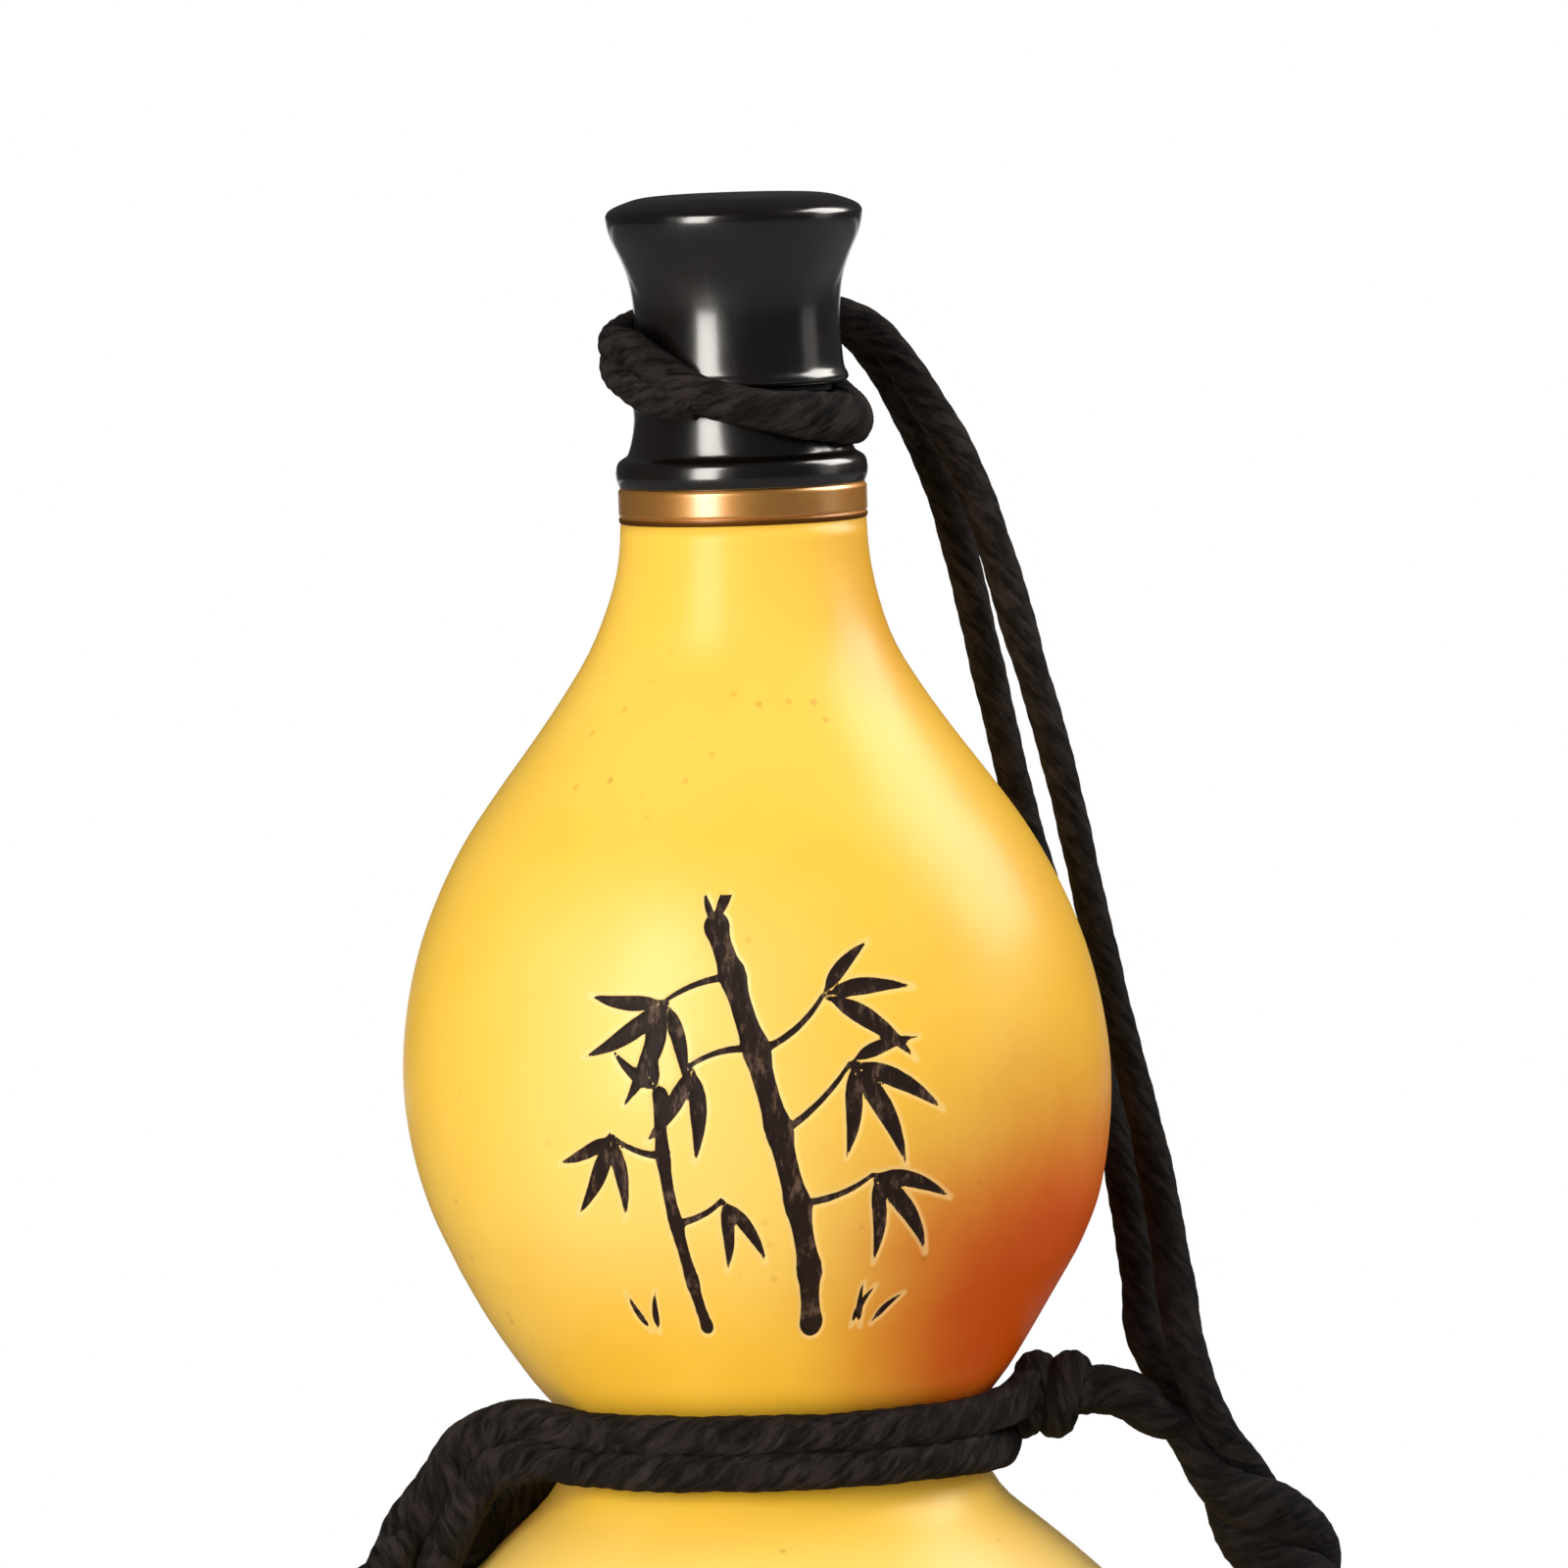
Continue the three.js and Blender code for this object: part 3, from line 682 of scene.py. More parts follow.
def strand(line, radii, towards, seed, sides=40, swell=1.0, pressed=1.0):
    """A cord's surface along a line. Its section is an ellipse of the two radii with one lobe for
    each yarn, r = 1 - depth (1 - |cos(yarns (angle - turn) / 2)|), and the lobes turn once in
    each yarn pitch. The swell is a further factor along the line, and a pressed power below 1,
    put on the sine and cosine, squares the ellipse. The seed also gives each strand fibres of
    its own. Returns vertices, quads, end fans, the lay and crest attributes."""
    along = length_along(line)
    first, second = directions_across(line, towards)
    angle = np.linspace(0, 2 * np.pi, sides, endpoint=False)[None, :]
    turn = -2 * np.pi * along[:, None] / YARN_PITCH
    crest = np.abs(np.cos(YARNS * (angle - turn) / 2))
    share = (1 - YARN_DEPTH * (1 - crest)) * (1 + ripple(along, CORD_RIPPLE, seed)[:, None])
    share = share * np.broadcast_to(swell, along.shape)[:, None]
    share = share * blunt_ends(along)[:, None]
    wide, tall = (np.sign(wave) * np.abs(wave) ** pressed
                  for wave in (np.cos(angle), np.sin(angle)))
    across = (radii[0] * wide * share)[..., None] * first[:, None, :]
    up = (radii[1] * tall * share)[..., None] * second[:, None, :]
    rings = line[:, None, :] + across + up
    mean = sum(radii) / 2
    lay = np.stack([
        mean * np.cos(angle - turn),
        mean * np.sin(angle - turn),
        along[:, None] + 0 * angle + seed * 0.37,
    ], -1)
    points = np.vstack([rings.reshape(-1, 3), line[0], line[-1]])
    lays = np.vstack([lay.reshape(-1, 3), lay[0].mean(0), lay[-1].mean(0)])
    crests = np.concatenate([crest.ravel(), [0.5, 0.5]])
    quads, fans = tube_faces(len(line), sides)
    return points, quads, fans, lays, crests


def cord_piece(name, strands, finish):
    """One object from one or more strands."""
    piece = build(name, [part[:3] for part in strands])
    attach(piece, "lay", np.vstack([part[3] for part in strands]))
    attach(piece, "crest", np.concatenate([part[4] for part in strands]))
    piece.data.materials.append(finish)
    return piece


def fork_ends(rope, following, apart=STRAND_OFFSET):
    """Where the strands below, above and behind a rope's middle meet its end, each apart from
    it: two points each, one straight run out along the rope and one a little way inside it."""
    end = np.array(rope)
    away = unit(end - np.array(following))
    behind = np.array([0.0, 1.0, 0.0])
    behind = unit(behind - behind.dot(away) * away)
    above = np.cross(behind, away)
    above = above * np.sign(above[2])
    places = {}
    for key, degrees in (("below", 210), ("above", 330), ("behind", 90)):
        turn = math.radians(degrees)
        offset = apart * (math.cos(turn) * above + math.sin(turn) * behind)
        places[key] = [tuple(end + away * run + offset) for run in (FORK_RUN, -FORK_OVERLAP)]
    return places


def arc_round(radius, height, start, stop, count=9):
    """Points on a level arc round the bottle, in degrees from +X towards +Y."""
    turn = np.radians(np.linspace(start, stop, count))
    return [(radius * math.cos(a), radius * math.sin(a), height) for a in turn]


def place_camera():
    """The photograph's camera: far off, a little above, turned by its roll. Its right and up are
    the level ones turned about the line of sight."""
    forward = np.array([0, math.cos(PHOTO_ELEVATION), -math.sin(PHOTO_ELEVATION)])
    level_up = np.array([0, math.sin(PHOTO_ELEVATION), math.cos(PHOTO_ELEVATION)])
    level_right = np.array([1.0, 0, 0])
    right = math.cos(PHOTO_ROLL) * level_right - math.sin(PHOTO_ROLL) * level_up
    up = math.sin(PHOTO_ROLL) * level_right + math.cos(PHOTO_ROLL) * level_up
    place = np.array(PHOTO_CENTRE) - forward * PHOTO_DISTANCE
    data = bpy.data.cameras.new("photo_camera")
    data.sensor_width = SENSOR
    data.lens = SENSOR * PHOTO_DISTANCE / PHOTO_SIDE
    data.clip_start = 0.1
    data.clip_end = 60
    camera = bpy.data.objects.new("photo_camera", data)
    matrix = np.eye(4)
    matrix[:3, 0], matrix[:3, 1], matrix[:3, 2], matrix[:3, 3] = right, up, -forward, place
    camera.matrix_world = Matrix(matrix)
    bpy.context.scene.collection.objects.link(camera)
    bpy.context.scene.camera = camera


def strap_piece(finish):
    """The carrying strap: three strands at even angles round the route, turned left-handed by an
    angle that grows along it, slowly at both ends, so that each strand meets a strand of either
    fork. It is tight at the right fork. From there it opens out and its strands thicken, the
    lowest first. It is less slack on the floor than near its ends, and less at the left one."""
    line = smooth_line(STRAP_ROUTE, ROPE_STEP)
    along = length_along(line)
    left = to_nearest_end(along)
    first, second = directions_across(line, line * np.array([1, 1, 0]))
    rate = smooth_step(left, -2 * MM, 9 * MM)
    share = np.cumsum(rate) / rate.sum()

    def angle_at(index, place):
        offset = np.array(place[1]) - line[index]
        return math.atan2(offset.dot(second[index]), offset.dot(first[index]))

    starts = {key: angle_at(0, fork) for key, fork in fork_ends(*STRAP_ROUTE[:2]).items()}
    stop = angle_at(-1, fork_ends(STRAP_ROUTE[-1], STRAP_ROUTE[-2])["behind"])
    third = 2 * np.pi / 3
    turns = stop - starts["behind"]
    turns -= third * round((2 * np.pi * along[-1] / ROPE_PITCH + turns) / third)
    slack = (1 - 0.5 * smooth_step(left, 40 * MM, 90 * MM)) * (1 - 0.45 * along / along[-1])
    offset = STRAND_OFFSET * (1 + ROPE_OPENING * slack * smooth_step(along, 3 * MM, 14 * MM))
    offset = offset * (1 + ripple(along, ROPE_RIPPLE, 5))
    strands = []
    for seed, (start, tight) in enumerate(zip(starts.values(), (0, 6 * MM, 4 * MM))):
        swell = 1 + ROPE_SWELLING * slack * smooth_step(along, tight, tight + 10 * MM)
        turn = (start + turns * share)[:, None]
        aside = np.cos(turn) * first + np.sin(turn) * second
        middle = line + offset[:, None] * aside
        part = strand(middle, ROPE_SECTION, aside, seed, sides=32, swell=swell)
        part[0][:, 2] = np.maximum(part[0][:, 2], ON_FLOOR)
        strands.append(part)
    piece = cord_piece("strap_rope", strands, finish)
    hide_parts("carry_strap")
    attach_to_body(piece, "bottle")


def lanyard_piece(name, node, route, fork, seed, finish):
    """One strand of the lanyard, a little thicker at its foot, where the two lie together, and
    at its top."""
    line = smooth_line([*route, *fork], STRAND_STEP)
    swell = 1
    for growth, low, high in LANYARD_GROWTH:
        swell = swell + growth * smooth_step(line[:, 2], low * MM, high * MM)
    part = strand(line, (LANYARD_RADIUS, LANYARD_RADIUS), (0, 1, 0), seed, swell=swell)
    piece = cord_piece(name, [part], finish)
    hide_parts(node)
    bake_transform(piece)


def rest_on(part, outline, clearance=0.04 * MM):
    """The strand with those of its vertices that would lie in a turned form moved straight out
    to just off its surface."""
    points = part[0]
    radius = np.hypot(points[:, 0], points[:, 1])
    outline = outline[np.argsort(outline[:, 1])]
    surface = np.interp(points[:, 2], outline[:, 1], outline[:, 0]) + clearance
    factor = np.maximum(surface / np.maximum(radius, 1e-9), 1)
    deep = radius < 0.5 * surface  # vertices well inside stay there
    factor = np.where(deep, 1, factor)[:, None]
    moved = points * np.concatenate([factor, factor, np.ones_like(factor)], axis=1)
    return moved, *part[1:]


def waist_pieces(outline, finish):
    """The lashing: two strands across the front and one round the back, pressed on the gourd.
    Each runs from the left fork, over its way to the waist, a level arc given by height and
    degrees, and its way to the knot."""
    start = fork_ends(STRAP_ROUTE[-1], STRAP_ROUTE[-2], LEFT_OFFSET)
    upper_height, lower_height = WAIST_HEIGHT + LASH_SPLIT, WAIST_HEIGHT - LASH_SPLIT
    courses = {
        "upper": (start["above"], UPPER_LEFT, (upper_height, 213, 330), UPPER_RIGHT),
        "lower": (start["below"], LOWER_LEFT, (lower_height, 213, 330), LOWER_RIGHT),
        "rear": (start["behind"], REAR_LEFT, (WAIST_HEIGHT, 147, 30), REAR_RIGHT),
    }
    for seed, (key, (fork, left, arc, right)) in enumerate(courses.items()):
        route = [*fork[::-1], *left[::-1], *arc_round(LASH_RADIUS, *arc), *right]
        line = smooth_line(route, STRAND_STEP)
        loose = 1 + LOOSER[key] * smooth_step(-line[:, 0], 21.5 * MM, 26.5 * MM)
        part = strand(line, LASH_SECTION, (0, 0, 1), seed + 10, swell=loose, pressed=PRESSED)
        piece = cord_piece(f"waist_strand_{key}", [rest_on(part, outline)], finish)
        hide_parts(f"waist_cord_{key}")
        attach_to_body(piece, "bottle")


def knot_coil(rows, middle, start, seed):
    """A knot's turns: a cord on a coil wound round the line through the rows' places. Its y and z
    go round that line by the cosine and sine of an angle, times the rows' half depth and half
    height. The angle, in degrees at its start, makes KNOT_TURNS turns."""
    t = np.linspace(0, 1, 120)
    columns = np.array(rows).T
    x, y, z, deep, tall = (np.interp(t, np.linspace(0, 1, len(rows)), c) for c in columns)
    angle = 2 * np.pi * KNOT_TURNS * t + math.radians(start)
    coil = np.stack([x, y - deep * np.cos(angle), z + tall * np.sin(angle)], -1)
    coil = evenly(coil, STRAND_STEP)
    outwards = (coil - np.array(middle)) * np.array([0.2, 1, 1])
    return strand(coil, KNOT_SECTION, outwards, seed)


def waist_knot_piece(finish):
    """Turns of cord round the three strands, smaller towards the right, and the one strand that
    goes on to the strap."""
    tail = smooth_line([*KNOT_TAIL, *fork_ends(*STRAP_ROUTE[:2])["below"]], STRAND_STEP)
    swell = 1 + TAIL_GROWTH - TAIL_LOSS * smooth_step(length_along(tail), 6 * MM, 12 * MM)
    piece = cord_piece("waist_knot_turns", [
        knot_coil(WAIST_COIL, WAIST_COIL_MIDDLE, -120, 21),
        strand(tail, (CORD / 2, CORD / 2), (0, 1, 0), 22, swell=swell),
    ], finish)
    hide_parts("waist_knot")
    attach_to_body(piece, "bottle")


def stopper_cord_pieces(outline, finish):
    """The loop round the stopper with the hitch that closes it on the left, and the knot behind
    that ties its ends to the lanyard."""
    parts = []
    for heights, reach, seed in ((LOOP_HEIGHTS, LOOP_TURN, 31), (HITCH_HEIGHTS, HITCH_TURN, 33)):
        turn = np.radians(np.linspace(*reach, len(heights)))
        route = [(LOOP_RADIUS * math.cos(a) + LOOP_SHIFT, LOOP_RADIUS * math.sin(a), z * MM)
                 for a, z in zip(turn, heights)]
        line = smooth_line(route, STRAND_STEP)
        swell = 1 + LOOP_GROWTH * smooth_step(line[:, 0], 0, 8 * MM)
        part = strand(line, LOOP_SECTION, line * np.array([1, 1, 0]), seed, swell=swell)
        parts.append(rest_on(part, outline))
    loop = cord_piece("stopper_loop_cord", parts, finish)
    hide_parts("stopper_loop")
    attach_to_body(loop, "stopper_cord")
    coil = knot_coil(STOPPER_COIL, STOPPER_COIL_MIDDLE, -60, 32)
    knot = cord_piece("stopper_knot_turns", [coil], finish)
    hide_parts("stopper_knot")
    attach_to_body(knot, "stopper_cord")


def shell_profiles():
    """Outer and inner (radius, height) rings of the gourd, read from the frame's own solid:
    vertices of faces that look away from the axis, and of those that look towards it, from the
    lowest up and without those on the axis."""
    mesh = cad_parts["gourd_shell"].data
    co = np.zeros(len(mesh.vertices) * 3, np.float32)
    mesh.vertices.foreach_get("co", co)
    co = co.reshape(-1, 3).astype(float)
    count = len(mesh.polygons)
    corners = np.zeros(len(mesh.loops), np.int32)
    mesh.loops.foreach_get("vertex_index", corners)
    normals = np.zeros(count * 3, np.float32)
    mesh.polygons.foreach_get("normal", normals)
    normals = normals.reshape(-1, 3)
    faces = corners.reshape(count, 3)
    middle = co[faces].mean(axis=1)
    looks = np.sum(middle[:, :2] * normals[:, :2], axis=1)
    rings = []
    for chosen in (looks > 1e-6, looks < -1e-6):
        used = co[np.unique(faces[chosen])]
        pairs = np.round(np.stack([np.hypot(used[:, 0], used[:, 1]), used[:, 2]], -1), 6)
        pairs = np.unique(pairs, axis=0)
        rings.append(pairs[np.argsort(pairs[:, 1])])
    outer, inner = rings
    return outer[outer[:, 0] > 1 * MM], inner[inner[:, 0] > 0]


def fine_outline(rings, step=0.2 * MM):
    """Close samples of the smooth curve through (radius, height) rings."""
    return smooth_line([(r, 0.0, z) for r, z in rings], step)[:, [0, 2]]


# Height and sideways shift of the gourd's middle, in millimetres: no gourd grows quite straight
GOURD_LEAN = [(0, 0), (14, -0.2), (60, -0.5), (86, -0.4), (94, 0), (103, 0), (110, -0.1),
              (118, 0.15), (128, -0.25), (140, -0.6), (155, -0.8), (168, -0.75), (178, -0.55),
              (186, -0.1), (191, 0)]
UNEVENNESS = 0.22 * MM

DESIGN_RADIUS = 36 * MM                # the bulb's radius where the design is
DESIGN_HEIGHT = 131.5 * MM             # height of the design's middle
DESIGN_HALF_WIDTH = 23 * MM
DESIGN_HALF_HEIGHT = 22.5 * MM
CUT_DEPTH = 0.22 * MM
FAR_FROM_DESIGN = 10.0                 # distance in millimetres that stands for any greater one
FINE_GRID = 0.33 * MM                  # between the gourd's vertices, where the design is
COARSE_GRID = 1.7 * MM                 # and elsewhere


def stroke(start, bend, stop, widths, count=44):
    """Middles of discs along a parabola from start to stop that leans towards bend, and their
    radii, which run evenly from one given value to the next. In millimetres on the design's
    plane."""
    t = np.linspace(0, 1, count)[:, None]
    start, bend, stop = (np.array(p, float) for p in (start, bend, stop))
    centres = (1 - t) ** 2 * start + 2 * t * (1 - t) * bend + t ** 2 * stop
    return centres, np.interp(t[:, 0], np.linspace(0, 1, len(widths)), widths)


def leaf(root, degrees, length, width, lean=0.12):
    """A bamboo leaf: a stroke with a thin stem, widest at a third of its length and drawn out
    to a point. Its bend lies aside of its middle by a share of its length."""
    turn = math.radians(degrees)
    along = np.array([math.cos(turn), math.sin(turn)])
    aside = np.array([-along[1], along[0]])
    root = np.array(root, float)
    bend = root + along * length * 0.5 + aside * length * lean
    profile = np.array([0.16, 0.3, 0.8, 1.0, 1.0, 0.9, 0.74, 0.54, 0.3, 0.05])
    return stroke(root, bend, root + along * length, profile * width * 0.72)


# The design, in millimetres from its middle: the nodes of two stems with a half width, twigs
# by start, bend and stop, and leaves as a root with (degrees, length, breadth) of each
STEMS = [
    ([(5.4, -20.5), (4.6, -14.6), (3.5, -7.8), (2.0, 0.0), (0.2, 8.2), (-1.9, 15.6),
      (-3.6, 20.6)], 1.2),
    ([(-7.6, -20.5), (-8.8, -15.4), (-9.6, -9.3), (-10.0, -2.4), (-9.8, 4.2)], 0.68),
]
TWIG_WIDTHS = [0.42, 0.32, 0.24]
TWIGS = [
    ((2.4, -0.2), (6.5, 2.2), (9.6, 6.4)),
    ((0.5, 8.0), (4.6, 9.4), (7.4, 13.2)),
    ((-1.6, 15.4), (-5.6, 15.4), (-9.0, 13.2)),
    ((0.0, 8.2), (-3.4, 8.6), (-6.4, 6.8)),
    ((3.8, -7.6), (8.2, -7.4), (11.6, -5.0)),
    ((-9.9, -2.4), (-13.2, -2.2), (-15.4, -0.2)),
    ((-9.5, -9.3), (-6.4, -8.9), (-4.4, -7.0)),
]
LEAVES = [
    ((9.6, 6.4), [(-62, 12.0, 1.5), (-28, 11.2, 1.35), (-95, 9.6, 1.25), (16, 8.0, 1.0)]),
    ((7.4, 13.2), [(-36, 11.6, 1.4), (2, 10.0, 1.2), (42, 7.6, 1.0)]),
    ((-9.0, 13.2), [(212, 10.6, 1.35), (246, 11.4, 1.45), (176, 8.6, 1.1), (282, 8.8, 1.1)]),
    ((-6.4, 6.8), [(236, 9.4, 1.2), (268, 9.8, 1.25)]),
    ((11.6, -5.0), [(-52, 10.8, 1.35), (-18, 9.4, 1.15), (-88, 9.2, 1.15)]),
    ((-15.4, -0.2), [(238, 9.6, 1.2), (205, 7.0, 0.95), (272, 8.6, 1.1)]),
    ((-4.4, -7.0), [(-58, 7.8, 1.0), (-92, 7.4, 0.95)]),
    ((-3.6, 20.6), [(112, 3.6, 0.6), (60, 6.4, 0.9)]),
    ((-9.8, 4.2), [(96, 7.6, 0.95), (140, 6.4, 0.85)]),
    # blades of grass
    ((-15.0, -20.6), [(118, 4.6, 0.55)]),
    ((-14.0, -20.8), [(82, 4.6, 0.55)]),
    ((10.6, -20.7), [(62, 4.6, 0.55)]),
    ((11.8, -20.8), [(98, 4.6, 0.55)]),
    ((13.2, -20.6), [(40, 4.6, 0.55)]),
]


def bamboo():
    """The cut design's strokes: the stems' lengths between two nodes, flared at both ends and a
    little apart, the twigs, and the leaves."""
    strokes = []
    for points, width in STEMS:
        flare = np.array([1.22, 1, 0.94, 0.94, 1, 1.22]) * width
        for low, high in zip(np.array(points[:-1]), np.array(points[1:])):
            gap = (high - low) * 0.05
            bend = (low + high) / 2 - (0.15, 0)
            strokes.append(stroke(low + gap, bend, high - gap, flare))
    strokes += [stroke(*twig, TWIG_WIDTHS) for twig in TWIGS]
    strokes += [leaf(root, *shape) for root, shapes in LEAVES for shape in shapes]
    return strokes


def distance_to_design(across, up):
    """Signed distance in millimetres to the nearest edge of the design, negative inside: the
    least distance to any stroke's discs, less their radius."""
    nearest = np.full(across.shape, FAR_FROM_DESIGN)
    for centres, widths in bamboo():
        for (cx, cy), half in zip(centres, widths):
            nearest = np.minimum(nearest, np.hypot(across - cx, up - cy) - half)
    return nearest


def graded(low, high, fine_low, fine_high, fine, coarse):
    """Values from low to high. Their density is 1 / fine from fine_low to fine_high and
    1 / coarse elsewhere, and changes evenly over a short way outside that range."""
    dense = np.linspace(low, high, 20001)
    ease = (fine_high - fine_low) * 0.12
    inside = np.clip((dense - fine_low) / ease + 1, 0, 1)
    inside = inside * np.clip((fine_high - dense) / ease + 1, 0, 1)
    density = inside / fine + (1 - inside) / coarse
    count = int(density.mean() * (high - low))
    reached = np.cumsum(density)
    reached = (reached - reached[0]) / (reached[-1] - reached[0])
    return np.interp(np.linspace(0, 1, count), reached, dense)


def wander(angle, height, seed, amount):
    """Natural unevenness: the sum of six waves round and up the gourd, each
    sin(rounds angle + phase) sin(rate height + 2 phase) / rounds."""
    rng = np.random.default_rng(seed)
    total = 0
    for rounds in (1, 2, 2, 3, 4, 5):
        rate = rng.uniform(20, 130)
        phase = rng.uniform(0, 2 * np.pi)
        total = total + np.sin(rounds * angle + phase) * np.sin(rate * height + 2 * phase) / rounds
    return amount * total


def lean_at(height):
    """How far the gourd's middle stands off the axis at a height, along a smooth curve through
    the rings of GOURD_LEAN."""
    curve = smooth_line([(shift * MM, 0.0, z * MM) for z, shift in GOURD_LEAN], 0.5 * MM)
    return np.interp(height, curve[:, 2], curve[:, 0])


def gourd_outside(outline, turns, rows):
    """Rings of the gourd's outside and the carving, the distance to the design at each vertex. A
    vertex is the outline turned round the axis, moved along the surface's normal by the
    unevenness less the cut, and then sideways by the lean."""
    along = length_along(outline)
    radius = np.interp(rows, along, outline[:, 0])[:, None]
    height = np.interp(rows, along, outline[:, 1])[:, None]
    slope = np.gradient(radius[:, 0], rows)[:, None]

    # the base, the waist under the lashing and the neck's top stay even
    free = smooth_step(height, 3 * MM, 14 * MM) * smooth_step(height, 188 * MM, 172 * MM)
    free = free * (1 - np.exp(-((height - WAIST_HEIGHT) / (9 * MM)) ** 2))
    uneven = wander(turns, height, 3, UNEVENNESS) * free

    across = turns * DESIGN_RADIUS / MM + 0 * height
    up = (height - DESIGN_HEIGHT) / MM + 0 * turns
    carving = np.full(across.shape, FAR_FROM_DESIGN)
    near = (np.abs(across) < DESIGN_HALF_WIDTH / MM) & (np.abs(up) < DESIGN_HALF_HEIGHT / MM + 1)
    carving[near] = distance_to_design(across[near], up[near])
    cut = CUT_DEPTH * smooth_step(-carving, -0.1, 0.25)

    angle = turns - np.pi / 2
    full = radius + (uneven - cut) * np.sqrt(np.clip(1 - slope ** 2, 0, 1))
    lift = (uneven - cut) * -slope
    rings = np.stack([full * np.cos(angle), full * np.sin(angle), height + lift], -1)
    rings[..., 0] += lean_at(height)
    return rings, carving


def gourd_inside(outer, inner, angles):
    """Rings of the gourd's inside, from the neck's rim down the bore to the middle of its floor,
    which dips a little."""
    bore = eased(np.vstack([outer[-1:], inner[::-1]]), 0.25 * MM, steps=2)
    bore = np.vstack([bore[1:], [inner[0][0] * 0.45, inner[0][1] - 0.6 * MM]])
    rings = spun(bore, angles)
    rings[..., 0] += lean_at(rings[..., 2])
    return rings


def gourd_piece(rind, pith):
    """The gourd: its outline turned round the axis, a little uneven, with the design cut into its
    front. The inside is one wall further in, and the two meet at the neck's rim."""
    outer, inner = shell_profiles()
    outline = fine_outline(outer)
    along = length_along(outline)
    reach = DESIGN_HALF_HEIGHT + 0.5 * MM
    heights = (DESIGN_HEIGHT - reach, DESIGN_HEIGHT + reach)
    low, high = np.interp(heights, outline[:, 1], along)
    rows = graded(0, along[-1], low, high, FINE_GRID, COARSE_GRID)
    half, fine, coarse = np.array([DESIGN_HALF_WIDTH, FINE_GRID, COARSE_GRID]) / DESIGN_RADIUS
    turns = graded(-np.pi, np.pi, -half, half, fine, coarse)[None, :-1]
    outside, carving = gourd_outside(outline, turns, rows)
    inside = gourd_inside(outer, inner, turns[0] - np.pi / 2)
    rings = np.concatenate([outside, inside])
    sides = turns.shape[1]
    quads, fans = tube_faces(len(rings), sides)
    tips = [[0, 0, 0], [0, 0, inner[0][1] - 1.4 * MM]]
    piece = build("gourd", [(np.vstack([rings.reshape(-1, 3), tips]), quads, fans)])
    plain = np.full(len(inside) * sides + len(tips), FAR_FROM_DESIGN)
    attach(piece, "carving", np.concatenate([carving.ravel(), plain]))
    piece.data.materials.append(rind)
    piece.data.materials.append(pith)

    # pith shows all over the inside and where the base is sanded flat
    slots = np.zeros(len(piece.data.polygons), np.int32)
    slots[(len(outside) - 1) * sides:] = 1
    piece.data.polygons.foreach_set("material_index", slots)
    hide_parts("gourd_shell")
    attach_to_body(piece, "bottle")
    return outline


def neck_ring_piece(finish):
    """Brass ring with rounded edges and a fine groove near its foot."""
    low, high = (corner.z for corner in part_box("brass_ring"))
    low, high = low - SEAT, high + SEAT
    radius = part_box("brass_ring")[1].x
    bore = 9 * MM
    groove = low + 0.7 * MM
    profile = eased([
        (bore, low),
        (radius - 0.15 * MM, low),
        (radius, low + 0.2 * MM),
        (radius, groove - 0.16 * MM),
        (radius - 0.18 * MM, groove),
        (radius, groove + 0.16 * MM),
        (radius, high - 0.4 * MM),
        (radius - 0.25 * MM, high),
        (bore, high),
    ], 0.2 * MM, closed=True)
    piece = build("neck_ring", [turned_ring(profile)])
    piece.data.materials.append(finish)
    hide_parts("brass_ring")
    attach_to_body(piece, "bottle")


def thread_ridge(radius, height, low, turns, start):
    """Surface of a screw ridge round a cylinder: a trapezium, broad at the wall and narrow at its
    top, carried up a helix of the thread's pitch from low, and run out into the wall at both
    ends. Its height is negative where it stands inwards."""
    steps = int(turns * 72)
    t = np.linspace(0, turns, steps)
    angle = 2 * np.pi * t + math.radians(start)
    centre = low + THREAD_PITCH * t
    fade = np.clip(np.minimum(t, turns - t) / RIDGE_RUNOUT, 0.02, 1)
    root = -RIDGE_ROOT * np.sign(height)
    section = [(root, -RIDGE_BASE / 2), (0, -RIDGE_BASE / 2), (height, -RIDGE_CREST / 2),
               (height, RIDGE_CREST / 2), (0, RIDGE_BASE / 2), (root, RIDGE_BASE / 2)]
    rings = []
    for out, up in section:
        reach = radius + (out * fade if out == height else out)
        rings.append(np.stack([
            reach * np.cos(angle),
            reach * np.sin(angle),
            centre + up * (0.4 + 0.6 * fade),
        ], -1))
    rings = np.stack(rings, 1)
    tips = [rings[0].mean(0), rings[-1].mean(0)]
    return np.vstack([rings.reshape(-1, 3), tips]), *tube_faces(steps, len(section))


